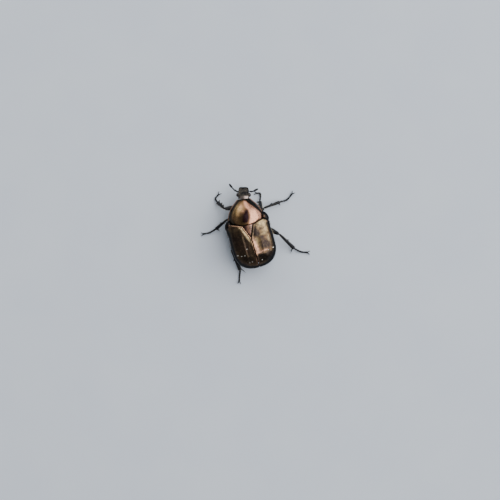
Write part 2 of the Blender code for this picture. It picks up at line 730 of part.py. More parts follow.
def make_leg(name, leg):
    sizes = LEG_SIZES[leg["pair"]]
    hip, knee, ankle = at(*leg["hip"]), at(*leg["knee"]), at(*leg["ankle"])
    joints = [hip, at(*leg["bow"]), knee] if "bow" in leg else [hip, knee]
    thigh = smooth_path(joints, 8 // (len(joints) - 1))
    thigh_ahead = (thigh[-1] - thigh[-2]).normalized()
    shin_ahead = (ankle - knee).normalized()
    narrow = sizes["tibia"][0]
    if thigh_ahead.dot(shin_ahead) > FOLDED:
        knee_face = shin_face = (thigh_ahead + shin_ahead).normalized()
        start = knee + knee_face * GAP * MM
    else:
        knee_face = (thigh_ahead - shin_ahead * thigh_ahead.dot(shin_ahead)).normalized()
        shin_face = None
        start = knee + (knee_face * (1.3 * GAP + narrow / 2) - shin_ahead * narrow / 2) * MM
    make_femur(f"femur_{name}", thigh, sizes["femur"], knee_face)

    shin_ahead = (ankle - start).normalized()
    foot = sizes["foot"]
    arch, tip = at(*leg["arch"], foot * 0.42), at(*leg["tip"], foot * 0.42)
    ankle_face = (shin_ahead + (arch - ankle).normalized()).normalized()
    make_tibia(f"tibia_{name}", leg, start, (shin_face, ankle_face))
    make_tarsus(f"tarsus_{name}", [ankle + ankle_face * GAP * MM, arch, tip], foot, ankle_face)


def make_femur(name, path, size, knee_face):
    # flattened thigh, thickest near its middle and drawn in at the hip
    wide, deep = size
    stations = []
    for k in range(len(path)):
        share = k / (len(path) - 1)
        swell = 0.52 + 0.48 * math.sin(math.pi * min(1.0, 0.10 + 0.95 * share) ** 0.9)
        end = 1 - 0.45 * max(0.0, (0.12 - share) / 0.12)
        stations.append((wide * swell * end, deep * (0.65 + 0.35 * math.sin(math.pi * share)) * end))
    limb(name, path, stations, 10, "black_leg", facing=(None, knee_face))


def make_tibia(name, leg, start, facing):
    # shin that widens to the ankle, with teeth along its outer side and spurs at its end
    ankle = at(*leg["ankle"])
    narrow, broad = LEG_SIZES[leg["pair"]]["tibia"]
    path = [start.lerp(ankle, k / 6) for k in range(7)]
    sizes = [(blend(narrow, broad, (k / 6) ** 1.4), blend(0.5, 0.62, k / 6)) for k in range(7)]
    tibia = limb(name, path, sizes, 8, "black_leg", facing=facing)

    shin_ahead = (ankle - start).normalized()
    level_ahead = Vector((shin_ahead.x, shin_ahead.y, 0)).normalized()
    outward = Vector((0, 0, 1)).cross(level_ahead) * leg["side"]
    spines = []
    for place, length in TIBIA_TEETH[leg["pair"]]:
        root = start.lerp(ankle, place)
        tip = root + (outward * 0.8 + shin_ahead * 0.6).normalized() * (broad / 2 + length) * MM
        spines.append(spine(root, tip, 0.26))
    heel = start.lerp(ankle, 0.88) - outward * broad * 0.25 * MM
    long_tip = at(*leg["spur"], SPUR_TIP_HEIGHT)
    spines.append(spine(heel, long_tip, 0.20))
    if leg["pair"] != "front":
        spines.append(spine(heel, heel.lerp(long_tip, 0.65) - level_ahead * 0.25 * MM, 0.18))
    combine(tibia, spines, "UNION")


def make_tarsus(name, route, thickness, face):
    # foot of five segments that lies on the floor, with two claws
    curve = smooth_path(route, 6)
    path, sizes = [], []
    for begin, end in zip(FOOT_JOINTS, FOOT_JOINTS[1:]):
        for share, swell in FOOT_SEGMENT:
            path.append(point_along(curve, blend(begin, end, share)))
            sizes.append((thickness * swell,) * 2)
    path.append(curve[-1])
    sizes.append((thickness * FOOT_SEGMENT[0][1],) * 2)
    tarsus = limb(name, path, sizes, 8, "black_leg", facing=(face, None), floor=True)
    heading = path[-1] - path[-2]
    heading.z = 0
    heading.normalize()
    wrist = path[-1] - heading * 0.2 * MM
    combine(tarsus, [claw(wrist, heading, -1), claw(wrist, heading, 1)], "UNION")


def seat_on_floor():
    # one empty carries every piece and puts the middle of their box over the origin
    depsgraph = bpy.context.evaluated_depsgraph_get()
    corners = []
    for piece in parts.objects:
        shape = piece.evaluated_get(depsgraph)
        corners += [shape.matrix_world @ vertex.co for vertex in shape.data.vertices]
    low = Vector([min(point[k] for point in corners) for k in range(3)])
    high = Vector([max(point[k] for point in corners) for k in range(3)])
    stand = bpy.data.objects.new("rose_chafer", None)
    stand.location = (-(low.x + high.x) / 2, -(low.y + high.y) / 2, -low.z)
    pieces = list(parts.objects)
    parts.objects.link(stand)
    for piece in pieces:
        piece.parent = stand


clear_scene()
parts = make_collection("rose_chafer_parts")

make_elytron("elytron_left", -1)
make_elytron("elytron_right", 1)
make_scutellum()
thorax = make_thorax()
make_abdomen()
make_pygidium()
make_hind_coxa("coxa_hind_left", -1)
make_hind_coxa("coxa_hind_right", 1)
make_pronotum()
prosternum = make_prosternum()
make_mesepimeron("mesepimeron_left", -1)
make_mesepimeron("mesepimeron_right", 1)
make_head()
make_eye("eye_left", -1)
make_eye("eye_right", 1)
make_mouth()
make_palp("palp_left", -1)
make_palp("palp_right", 1)
for side_name, facts in FEELERS.items():
    make_feeler(side_name, facts)
make_front_and_mid_hips()
for leg_name, leg in LEGS.items():
    make_leg(leg_name, leg)
seat_on_floor()
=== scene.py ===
import math
import random

import bmesh
import bpy
import numpy as np
from mathutils import Matrix, Vector


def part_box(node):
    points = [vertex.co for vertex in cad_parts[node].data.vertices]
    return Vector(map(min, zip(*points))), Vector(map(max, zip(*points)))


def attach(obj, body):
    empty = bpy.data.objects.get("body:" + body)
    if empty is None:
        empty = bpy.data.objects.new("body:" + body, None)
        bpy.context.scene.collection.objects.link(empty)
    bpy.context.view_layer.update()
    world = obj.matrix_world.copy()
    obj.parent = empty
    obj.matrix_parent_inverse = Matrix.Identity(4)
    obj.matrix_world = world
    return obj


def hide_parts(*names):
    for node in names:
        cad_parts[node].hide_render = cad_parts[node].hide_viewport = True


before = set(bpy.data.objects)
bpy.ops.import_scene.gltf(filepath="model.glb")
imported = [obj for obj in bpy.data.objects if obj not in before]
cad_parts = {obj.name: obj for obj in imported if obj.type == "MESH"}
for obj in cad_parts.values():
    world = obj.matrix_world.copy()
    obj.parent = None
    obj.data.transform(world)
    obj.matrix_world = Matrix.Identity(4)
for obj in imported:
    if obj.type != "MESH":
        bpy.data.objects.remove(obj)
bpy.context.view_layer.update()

# Rose chafer. Lengths in the dictionaries are millimetres, except where metres are named. A place on
# the beetle is forward, right and up: forward and right are counted from the tip of the scutellum, up
# from the floor. A mesh is given by its sides and rings, or by its columns and rows.
mm = 0.001
tipLow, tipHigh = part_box("scutellum")
origin = Vector(((tipLow.x + tipHigh.x) / 2, tipHigh.y, 0))


def at(forward, right, up):
    return origin + Vector((-right, -forward, up)) * mm


def turned(pivot, yaw, forward, right, up):  # a place in a part turned to the beetle's right
    return at(pivot[0] + forward * math.cos(yaw) - right * math.sin(yaw),
              pivot[1] + forward * math.sin(yaw) + right * math.cos(yaw), up)


hands = {"Left": -1, "Right": 1}  # the beetle's own left and right


def bump(value, centre, width):
    return math.exp(-((value - centre) / width) ** 2)


def hump(shape, value):  # shape: height, centre and width
    return shape[0] * bump(value, shape[1], shape[2])


def patchy(patches, forward, right):  # patches: forward, right, reach along, reach across, strength
    return sum(strength * bump(forward, f, along) * bump(right, r, across)
               for f, r, along, across, strength in patches)


def blend(start, end, share):
    return start + (end - start) * share


def clamp(value):
    return max(0.0, min(1.0, value))


def smoothStep(value, low, high):
    share = clamp((value - low) / (high - low))
    return share * share * (3 - 2 * share)


def powerArc(angle, power):  # sine and cosine of a superellipse
    return (math.copysign(abs(math.sin(angle)) ** (2 / power), math.sin(angle)),
            math.copysign(abs(math.cos(angle)) ** (2 / power), math.cos(angle)))


def alongTable(table, value):  # straight line between (place, size, ...) rows
    for before, after in zip(table, table[1:]):
        if value <= after[0]:
            share = clamp((value - before[0]) / (after[0] - before[0]))
            return [blend(a, b, share) for a, b in zip(before[1:], after[1:])]
    return list(table[-1][1:])


def smoothPath(points, steps):  # Catmull-Rom curve
    ends = [points[0] * 2 - points[1]] + list(points) + [points[-1] * 2 - points[-2]]
    path = []
    for before, start, end, after in zip(ends, ends[1:], ends[2:], ends[3:]):
        for k in range(steps):
            t = k / steps
            path.append(0.5 * (2 * start + (end - before) * t
                               + (2 * before - 5 * start + 4 * end - after) * t * t
                               + (3 * start - before - 3 * end + after) * t ** 3))
    path.append(points[-1].copy())
    return path


def pointAlong(path, share):
    place = clamp(share) * (len(path) - 1)
    k = min(int(place), len(path) - 2)
    return path[k].lerp(path[k + 1], place - k)


# Mesh helpers: each adds one form to a bmesh
def addSheet(form, columns, rows, place):  # grid laid by place(across, along)
    grid = bmesh.ops.create_grid(form, x_segments=columns, y_segments=rows, size=0.5)
    for vertex in grid["verts"]:
        vertex.co = place(vertex.co.x + 0.5, vertex.co.y + 0.5)


def addPlate(form, columns, rows, place, thickness):  # sheet that faces up, with its wall below it
    addSheet(form, columns, rows, place)
    bmesh.ops.remove_doubles(form, verts=form.verts, dist=2e-6)
    bmesh.ops.recalc_face_normals(form, faces=form.faces)
    if sum(face.normal.z for face in form.faces) < 0:
        bmesh.ops.reverse_faces(form, faces=form.faces)
    bmesh.ops.solidify(form, geom=form.faces[:], thickness=thickness * mm)


def unitTube(sides, rings):  # closed cylinder of radius 1 and length 1 along z
    tube = bmesh.new()
    bmesh.ops.create_cone(tube, cap_ends=True, segments=sides, radius1=1, radius2=1, depth=1)
    long = [edge for edge in tube.edges if abs(edge.verts[0].co.z - edge.verts[1].co.z) > 0.5]
    bmesh.ops.subdivide_edges(tube, edges=long, cuts=rings - 1)
    return tube


def addTube(form, sides, rings, place):  # closed tube laid by place(turn in radians, share)
    tube = unitTube(sides, rings)
    for vertex in tube.verts:
        vertex.co = place(math.atan2(vertex.co.y, vertex.co.x), vertex.co.z + 0.5)
    scratch = bpy.data.meshes.new("scratch")
    tube.to_mesh(scratch)
    tube.free()
    form.from_mesh(scratch)
    bpy.data.meshes.remove(scratch)


def pillowPlace(upper, lower):  # surface of a closed form between two sheets over (across, along)
    def place(turn, share):
        turn = (turn + math.pi) % (2 * math.pi) - math.pi
        return (upper if turn >= 0 else lower)(0.5 + 0.5 * math.cos(turn), clamp(share))
    return place


def addPillow(form, sides, rings, upper, lower):
    addTube(form, sides, rings, pillowPlace(upper, lower))


limbEnds = {"lookAhead": 0.03, "leastSize": 0.02}


def limbPlace(path, sizeAt, rounded):
    # surface of a tube along a path; sizeAt(share) gives width and depth, and both ends are rounded
    def place(turn, share):
        share = 0.5 - 0.5 * math.cos(math.pi * share)
        step = limbEnds["lookAhead"]
        ahead = (pointAlong(path, share + step) - pointAlong(path, share - step)).normalized()
        across = ahead.cross(Vector((0, 0, 1))).normalized()
        width, depth = sizeAt(share)
        end = min(1.0, min(share, 1 - share) / rounded)
        end = max(limbEnds["leastSize"], math.sqrt(1 - (1 - end) ** 2))
        return pointAlong(path, share) + (across * math.cos(turn) * width
                                          + across.cross(ahead) * math.sin(turn) * depth) / 2 * mm * end
    return place


def addLimb(form, path, sizeAt, sides, rings, rounded):
    addTube(form, sides, rings, limbPlace(path, sizeAt, rounded))


def addBall(form, centre, radii, yaw, segments, rings):  # radii along, across and up
    made = bmesh.ops.create_uvsphere(form, u_segments=segments, v_segments=rings, radius=1)
    verts = made["verts"]
    bmesh.ops.scale(form, verts=verts, vec=Vector((radii[1], radii[0], radii[2])) * mm)
    bmesh.ops.rotate(form, verts=verts, cent=(0, 0, 0), matrix=Matrix.Rotation(-yaw, 3, "Z"))
    bmesh.ops.translate(form, verts=verts, vec=centre)


def placePiece(name, mesh, material):
    mesh.shade_smooth()
    mesh.materials.append(material)
    piece = bpy.data.objects.new(name, mesh)
    bpy.context.scene.collection.objects.link(piece)
    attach(piece, "root")
    return piece


def finishPiece(name, form, material, nodes, angle=45):
    bmesh.ops.remove_doubles(form, verts=form.verts, dist=1e-6)
    bmesh.ops.recalc_face_normals(form, faces=form.faces)
    mesh = bpy.data.meshes.new(name)
    form.to_mesh(mesh)
    form.free()
    piece = placePiece(name, mesh, material)
    mesh.set_sharp_from_angle(angle=math.radians(angle))
    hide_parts(*nodes)
    return piece


# Materials
class Wire:  # one socket of a node tree, so that masks can be written as sums
    def __init__(self, tree, socket):
        self.tree, self.socket = tree, socket

    def node(self, kind, settings, inputs, output=0):
        made = self.tree.nodes.new("ShaderNode" + kind)
        for key, value in settings.items():
            setattr(made, key, value)
        for key, value in inputs.items():
            if isinstance(value, Wire):
                self.tree.links.new(value.socket, made.inputs[key])
            else:
                made.inputs[key].default_value = value
        return Wire(self.tree, made.outputs[output])

    def maths(self, operation, *values):
        return self.node("Math", {"operation": operation}, dict(enumerate(values)))

    def __add__(self, other):
        return self.maths("ADD", self, other)

    def __sub__(self, other):
        return self.maths("SUBTRACT", self, other)

    def __rsub__(self, other):
        return self.maths("SUBTRACT", other, self)

    def __mul__(self, other):
        return self.maths("MULTIPLY", self, other)

    __radd__ = __add__
    __rmul__ = __mul__

    def step(self, low, high):  # 0 below low, 1 above high, smooth between
        return self.node("MapRange", {"interpolation_type": "SMOOTHSTEP"},
                         {0: self, 1: low, 2: high, 3: 0.0, 4: 1.0})

    def mix(self, first, second):  # colours, by this wire's value
        return self.node("Mix", {"data_type": "RGBA"}, {0: self, 6: first, 7: second}, 2)

    def noise(self, scale, detail=3.0, roughness=0.55):
        return self.node("TexNoise", {}, {"Vector": self, "Scale": scale, "Detail": detail,
                                          "Roughness": roughness})

    def patches(self, scale, detail, roughness, low, high):  # noise cut to soft patches
        return self.noise(scale, detail, roughness).step(low, high)

    def cells(self, scale, randomness=1.0):  # distance to the nearest cell
        return self.node("TexVoronoi", {}, {"Vector": self, "Scale": scale, "Randomness": randomness})

    def stretched(self, x, y, z):
        return self.node("Mapping", {}, {"Vector": self, "Scale": (x, y, z)})

    def mark(self, kind):  # a mask that addMarks stores on the mesh
        return self.node("Attribute", {"attribute_name": kind}, {}, "Fac")

    def link(self, shader, name):
        self.tree.links.new(self.socket, shader.inputs[name])

    def emboss(self, shader, strength, distance):  # this wire's value as a height in the surface
        raised = self.node("Bump", {}, {"Strength": strength, "Distance": distance, "Height": self})
        raised.link(shader, "Normal")


def newMaterial(name, **constants):
    material = bpy.data.materials.new(name)
    material.use_nodes = True
    shader = material.node_tree.nodes["Principled BSDF"]
    for key, value in constants.items():
        shader.inputs[key.replace("_", " ")].default_value = value
    place = material.node_tree.nodes.new("ShaderNodeTexCoord")
    return material, shader, Wire(material.node_tree, place.outputs["Object"])


def colour(red, green, blue):
    return (red, green, blue, 1.0)


# Painted light in these colours: pale is painted highlight and painted reflection of the lights, edge is
# painted shade and painted dark reflection on rims, in gaps and on steep sides, dark is the shell's own
# darker tone where noise puts it and painted dark reflection where the dark mark puts it, and gold is partly
# the shell's own gold and partly painted reflection.
shellLook = {  # metallic colours of the shell; patches come from noise, gold, pale, dark and edge from marks
    "pronotum": {"base": (0.30, 0.165, 0.080), "patch": (0.26, 0.155, 0.060), "gold": (0.74, 0.47, 0.21),
                 "pale": (0.90, 0.45, 0.29), "dark": (0.020, 0.007, 0.010), "edge": (0.012, 0.012, 0.008),
                 "roughness": 0.27, "pits": 0.22, "mottle": 0.40, "blotch": 0.12, "specks": 0.0},
    "wingCase": {"base": (0.25, 0.145, 0.075), "patch": (0.19, 0.125, 0.055), "gold": (0.62, 0.46, 0.24),
                 "pale": (0.92, 0.48, 0.31), "dark": (0.042, 0.029, 0.025), "edge": (0.006, 0.007, 0.009),
                 "roughness": 0.29, "pits": 0.45, "mottle": 0.66, "blotch": 0.60, "specks": 0.12},
    "scutellum": {"base": (0.30, 0.15, 0.10), "patch": (0.22, 0.12, 0.07), "gold": (0.42, 0.28, 0.14),
                  "pale": (0.75, 0.46, 0.36), "dark": (0.05, 0.022, 0.02), "edge": (0.012, 0.010, 0.010),
                  "roughness": 0.29, "pits": 0.15, "mottle": 0.35, "blotch": 0.25, "specks": 0.0},
    "head": {"base": (0.038, 0.036, 0.035), "patch": (0.055, 0.048, 0.042), "gold": (0.20, 0.15, 0.10),
             "pale": (0.74, 0.58, 0.52), "dark": (0.015, 0.014, 0.014), "edge": (0.008, 0.008, 0.009),
             "roughness": 0.40, "pits": 0.8, "mottle": 0.5, "blotch": 0.25, "specks": 0.0},
    "belly": {"base": (0.075, 0.042, 0.030), "patch": (0.070, 0.050, 0.026), "gold": (0.24, 0.16, 0.08),
              "pale": (0.40, 0.28, 0.22), "dark": (0.02, 0.012, 0.012), "edge": (0.012, 0.008, 0.008),
              "roughness": 0.33, "pits": 0.5, "mottle": 0.4, "blotch": 0.3, "specks": 0.0},
}


shellGrain = {  # a patch: scale per metre, detail, roughness, and where its mask starts and ends
    "broad": (420, 2.0, 0.55, 0.42, 0.62), "mottle": (2400, 4.0, 0.70, 0.50, 0.68),
    "blotch": (1250, 5.0, 0.65, 0.47, 0.60), "specks": (3400, 3.0, 0.70, 0.52, 0.66),
    "pitted": (900, 2.0, 0.55, 0.40, 0.60), "pits": 6200, "pitEdge": (0.10, 0.34), "pitShade": 0.5,
    "ragged": (6500, 4.0, 0.6), "raggedShare": 0.9, "fleckEdge": (0.42, 0.60), "fleck": (0.80, 0.76, 0.68),
    "smudge": (1500, 3.0), "smudgeRough": 0.14, "mottleRough": 0.05, "fleckRough": 0.4,
    "fine": (9000, 3.0), "fineUp": 0.18, "waves": (1900, 2.0), "waveUp": 2.2, "fleckUp": 0.6,
    "speckStretch": (1, 0.55, 1), "fineStretch": (1, 0.35, 1), "waveStretch": (1, 1.6, 1),
    "metallic": 0.92, "tint": (0.30, 0.30, 0.33), "relief": (0.35, 0.00002)}


def shellMaterial(name, look):
    grain = shellGrain
    material, shader, place = newMaterial(name, Metallic=grain["metallic"], Coat_Weight=0.12,
                                          Coat_Roughness=0.12, Specular_Tint=colour(*grain["tint"]))
    gold, pale, dark = colour(*look["gold"]), colour(*look["pale"]), colour(*look["dark"])
    broad = place.patches(*grain["broad"])
    mottle = place.patches(*grain["mottle"])
    tint = broad.mix(colour(*look["base"]), colour(*look["patch"]))
    # gold mark: partly the shell's own gold, partly painted reflection of the lights
    tint = place.mark("gold").mix(tint, gold)
    # pale mark: painted highlight and painted reflection of the lights
    tint = place.mark("pale").mix(tint, pale)
    # noise mottle and blotches: the shell's own darker tone, at random
    tint = (mottle * look["mottle"]).mix(tint, dark)
    tint = (place.patches(*grain["blotch"]) * look["blotch"]).mix(tint, dark)
    # dark mark: painted dark reflection and painted shade
    tint = place.mark("dark").mix(tint, dark)
    specks = place.stretched(*grain["speckStretch"]).patches(*grain["specks"])
    tint = (specks * look["specks"]).mix(tint, gold)
    pits = 1 - place.cells(grain["pits"]).step(*grain["pitEdge"])
    pits = pits * place.patches(*grain["pitted"])
    # painted shade in the pits
    tint = (pits * grain["pitShade"] * look["pits"]).mix(tint, dark)
    # edge mark: painted shade and painted dark reflection on rims, in gaps and on steep sides
    tint = place.mark("edge").mix(tint, colour(*look["edge"]))
    fleck = place.mark("fleck") + place.noise(*grain["ragged"]) * grain["raggedShare"]
    fleck = (fleck - grain["raggedShare"] / 2).step(*grain["fleckEdge"])
    fleck.mix(tint, colour(*grain["fleck"])).link(shader, "Base Color")
    (grain["metallic"] - fleck * grain["metallic"]).link(shader, "Metallic")
    smudge = place.noise(*grain["smudge"]) * grain["smudgeRough"]
    rough = look["roughness"] + smudge - grain["smudgeRough"] / 2
    rough = rough + mottle * grain["mottleRough"] + fleck * grain["fleckRough"]
    rough.link(shader, "Roughness")
    fine = place.stretched(*grain["fineStretch"]).noise(*grain["fine"])
    waves = place.stretched(*grain["waveStretch"]).noise(*grain["waves"])
    height = fine * grain["fineUp"] - pits * look["pits"] + fleck * grain["fleckUp"]
    height = height + waves * grain["waveUp"] * look["mottle"]
    height.emboss(shader, *grain["relief"])
    return material


legLook = {"tone": (900, 3.0, 0.55, 0.35, 0.70), "black": (0.006, 0.006, 0.008),
           "worn": (0.020, 0.020, 0.025), "pits": 5200, "pitEdge": (0.08, 0.30), "pitShade": 0.6,
           "pit": (0.004, 0.004, 0.004), "roughness": 0.30, "smudge": (2600, 2.0), "smudgeRough": 0.18,
           "fine": (7000, 3.0), "fineUp": 0.3, "relief": (0.4, 0.00002)}
eyeLook = {"facets": 16000, "randomness": 0.35, "facetEdge": (0.2, 0.7), "middle": (0.035, 0.018, 0.010),
           "rim": (0.008, 0.006, 0.005), "relief": (0.5, 0.00001)}
hairLook = {"tone": (1500, 2.0, 0.55, 0.35, 0.65), "brown": (0.42, 0.34, 0.22), "pale": (0.62, 0.55, 0.42)}


def legMaterial():
    look = legLook
    material, shader, place = newMaterial("legBlack", Metallic=0.25, Specular_IOR_Level=0.3,
                                          Coat_Weight=0.10, Coat_Roughness=0.15)
    tint = place.patches(*look["tone"]).mix(colour(*look["black"]), colour(*look["worn"]))
    pits = 1 - place.cells(look["pits"]).step(*look["pitEdge"])
    # painted shade in the pits, with the pit colour as its dark
    (pits * look["pitShade"]).mix(tint, colour(*look["pit"])).link(shader, "Base Color")
    (look["roughness"] + place.noise(*look["smudge"]) * look["smudgeRough"]).link(shader, "Roughness")
    (place.noise(*look["fine"]) * look["fineUp"] - pits).emboss(shader, *look["relief"])
    return material


def eyeMaterial():
    look = eyeLook
    material, shader, place = newMaterial("eyeFacets", Metallic=0.0, Coat_Weight=0.25,
                                          Coat_Roughness=0.15, Roughness=0.30)
    facets = place.cells(look["facets"], look["randomness"])
    tint = facets.step(*look["facetEdge"]).mix(colour(*look["middle"]), colour(*look["rim"]))
    tint.link(shader, "Base Color")
    (1 - facets).emboss(shader, *look["relief"])
    return material


def hairMaterial():
    look = hairLook
    material, shader, place = newMaterial("hairPale", Metallic=0.0, Roughness=0.45)
    tint = place.patches(*look["tone"]).mix(colour(*look["brown"]), colour(*look["pale"]))
    tint.link(shader, "Base Color")
    return material


shell = {key: shellMaterial(key + "Shell", look) for key, look in shellLook.items()}
legBlack = legMaterial()
eyeFacets = eyeMaterial()
hairPale = hairMaterial()
print("materials made")


# Hairs: one tapered hair is repeated over the roots that each surface is given
hair = {"mesh": (3, 3), "radius": 0.013, "taper": 0.85, "thick": (0.8, 1.2), "bend": 0.30,
        "ahead": (0.4, 1.0), "aside": (-0.4, 0.4), "sunk": 0.02, "lowest": 0.02, "patch": 0.003,
        "turnStep": 0.05, "shareStep": 0.01}
coats = {  # hairs on each part: count, where along it, length, how far they stand up
    "belly": (260, (0.40, 0.95), (0.25, 0.55), 0.45),
    "breast": (950, (0.14, 0.95), (0.45, 0.95), 0.80),
    "hipHind": (150, (0.10, 0.90), (0.40, 0.80), 0.70),
    "hipFront": (130, (0.30, 0.88), (0.30, 0.60), 0.60),
    "hipMid": (70, (0.30, 0.88), (0.30, 0.60), 0.60),
    "throat": (600, (0.05, 0.92), (0.40, 0.90), 0.80),
    "head": (120, (0.16, 0.86), (0.10, 0.20), 0.50),
    "thigh": (34, (0.15, 0.92), (0.30, 0.55), 0.60),
    "shin": (46, (0.12, 0.97), (0.28, 0.50), 0.55),
    "foot": (7, (0.80, 0.95), (0.18, 0.30), 0.50),
}
squares = {  # each part's own square on the hairs' map: its corner and size; the legs have their own map
    "belly": (0.0, 0.0, 0.24), "breast": (0.25, 0.0, 0.24), "hipHindLeft": (0.5, 0.0, 0.24),
    "hipHindRight": (0.75, 0.0, 0.24), "throat": (0.0, 0.25, 0.24), "hipFrontLeft": (0.25, 0.25, 0.11),
    "hipFrontRight": (0.37, 0.25, 0.11), "hipMidLeft": (0.49, 0.25, 0.11),
    "hipMidRight": (0.61, 0.25, 0.11), "head": (0.75, 0.25, 0.24),
}
draw = random.Random(12)
hairRoots = {"body": [], "legs": []}


def growHairs(group, square, place, coat, turns):  # roots on a surface given by place(turn, share)
    count, shares, length, stand = coats[coat]
    along, around = hair["shareStep"], hair["turnStep"]
    for k in range(count):
        turn, share = draw.uniform(*turns), draw.uniform(*shares)
        root = place(turn, share)
        centre = (root + place(turn + math.pi, share)) / 2
        ahead = (place(turn, share + along) - place(turn, share - along)).normalized()
        outward = (place(turn + around, share) - place(turn - around, share)).cross(ahead).normalized()
        if outward.dot(root - centre) < 0:
            outward.negate()
        lie = (outward * stand + ahead * draw.uniform(*hair["ahead"])
               + outward.cross(ahead) * draw.uniform(*hair["aside"])).normalized()
        corner = (square[0] + square[2] * (turn / (2 * math.pi) % 1.0), square[1] + square[2] * share)
        hairRoots[group].append((root - outward * hair["sunk"] * mm, lie, ahead,
                                 draw.uniform(*length), draw.uniform(*hair["thick"]), corner))


def makeHairs(name, group):
    form = unitTube(*hair["mesh"])
    single = bpy.data.meshes.new("single")
    form.to_mesh(single)
    form.free()
    corners = np.array([vertex.co for vertex in single.vertices])
    faces = [list(face.vertices) for face in single.polygons]
    bpy.data.meshes.remove(single)
    share = corners[:, 2:] + 0.5
    taper = 1 - hair["taper"] * share
    shrink = 1 - 0.5 * share  # on the map, towards the tip
    places, outlines, cells = [], [], []
    for root, lie, ahead, length, thick, corner in hairRoots[group]:
        side = lie.orthogonal().normalized()
        across = np.array(lie.cross(side))
        point = np.array(root) + share * length * mm * np.array(lie)
        point = point + hair["bend"] * share ** 2 * length * mm * np.array(ahead - lie * ahead.dot(lie))
        point = point + taper * hair["radius"] * thick * mm * (corners[:, :1] * np.array(side)
                                                               + corners[:, 1:2] * across)
        point[:, 2] = np.maximum(point[:, 2], hair["lowest"] * mm)
        start = len(places) * len(corners)
        places.append(point)
        outlines += [[start + k for k in face] for face in faces]
        patch = np.array(corner) + hair["patch"] * (0.5 + 0.5 * corners[:, :2] * shrink)
        cells += [patch[k] for face in faces for k in face]
    mesh = bpy.data.meshes.new(name)
    mesh.from_pydata(np.concatenate(places).tolist(), [], outlines)
    layer = mesh.uv_layers.new(name="OFBake")
    layer.data.foreach_set("uv", np.array(cells, dtype=np.float32).ravel())
    placePiece(name, mesh, hairPale)


# Wing cases. Three numbers are the height, centre and width of a hump, two are where a change starts
# and ends, five are a patch and four are a fleck. -1 is the left side and 1 the right
wingCase = {"halfWidth": 4.85, "shoulderSwell": (0.10, 2.6, 1.1), "waist": (-0.08, 0.6, 1.0),
            "tailStart": -2.0, "tailLength": 5.05, "tailPower": 2.5, "archPower": 2.6,
            "straightShare": 9 / 16, "margin": 4.35, "marginSlope": 0.06, "sinus": (0.45, 0.3, 1.0),
            "ridge": 7.7, "ridgeTop": -0.5, "ridgeFall": 0.012, "seam": 0.035, "tip": -0.22,
            "cornerRight": 1.16, "corner": {-1: 2.68, 1: 2.46}, "rise": {-1: 0.39, 1: 0.26},
            "turnRight": 3.5, "turnReach": 1.45, "turnDrop": 1.05,
            "thickness": 0.35, "columns": 120, "rows": 150, "crowding": 1.25}
relief = {"rear": (0.8, -2.2), "frontShare": 0.35, "seamRidge": (0.13, 0.12, 0.20),
          "hollow": {-1: -0.05, 1: -0.13}, "hollowRight": 0.95, "hollowIn": 0.50, "hollowOut": 1.20,
          "hollowEnd": (-4.5, -3.6), "ribs": ((0.07, 2.05, 0.30), (0.05, 3.05, 0.26)),
          "ribShare": {-1: 1.0, 1: 0.4}, "ribFront": (1.6, 0.2),
          "step": (-4.25, 1.7, 0.40, 1.2, 0.07), "shoulder": (1.9, 3.9, 0.8, 0.6, 0.20),
          "tailKnob": (-5.2, 2.5, 0.65, 0.65, 0.18), "bead": (0.075, 0.20, 0.13),
          "dip": {-1: -0.15, 1: -0.05}, "dipEdge": (0.95, 0.15), "dipRight": (2.4, 1.5),
          "rolledEdge": (-0.16, 0.0, 0.07), "rolledSeam": (-0.16, 0.035, 0.045), "fadePower": 4}


def shellHalfWidth(forward):
    return wingCase["halfWidth"] + hump(wingCase["shoulderSwell"], forward) + hump(wingCase["waist"], forward)


def marginHeight(forward):
    return wingCase["margin"] + wingCase["marginSlope"] * forward + hump(wingCase["sinus"], forward)


def ridgeHeight(forward):
    return wingCase["ridge"] - wingCase["ridgeFall"] * (forward - wingCase["ridgeTop"]) ** 2


def outlineHalfWidth(forward, inset=0.0):
    power = wingCase["tailPower"]
    share = clamp((wingCase["tailStart"] - forward) / (wingCase["tailLength"] - inset))
    return (shellHalfWidth(forward) - inset) * (1 - share ** power) ** (1 / power)


def backHeight(forward, right, inset=0.0):
    power, archPower = wingCase["tailPower"], wingCase["archPower"]
    tail = max(0.0, (wingCase["tailStart"] - forward) / (wingCase["tailLength"] - inset))
    out = abs(right) / (shellHalfWidth(forward) - inset)
    reach = min(1.0, (out ** power + tail ** power) ** (1 / power))
    arch = (1 - reach ** archPower) ** (1 / archPower)
    return blend(marginHeight(forward), ridgeHeight(forward) - inset, arch)


def baseEdge(right, side):  # front edge outside the scutellum's corner, and its slope
    rise = wingCase["rise"][side]
    turn = max(0.0, right - wingCase["turnRight"]) / wingCase["turnReach"]
    straight = wingCase["corner"][side] + rise * (min(right, wingCase["turnRight"]) - wingCase["cornerRight"])
    slope = 2 * wingCase["turnDrop"] * turn / wingCase["turnReach"] if turn else rise
    return straight - wingCase["turnDrop"] * turn ** 2, slope


def frontEdge(right, side):
    if right >= wingCase["cornerRight"]:
        return baseEdge(right, side)[0]
    share = (right - wingCase["seam"]) / (wingCase["cornerRight"] - wingCase["seam"])
    return blend(wingCase["tip"], wingCase["corner"][side], share)


def edgeDistance(forward, right, side):  # from the edge beside the scutellum or the base, in plan
    slope = (wingCase["corner"][side] - wingCase["tip"]) / (wingCase["cornerRight"] - wingCase["seam"])
    beside = (wingCase["tip"] + slope * (right - wingCase["seam"]) - forward) / math.hypot(1, slope)
    base, baseSlope = baseEdge(right, side)
    return min(beside, (base - forward) / math.hypot(1, baseSlope))


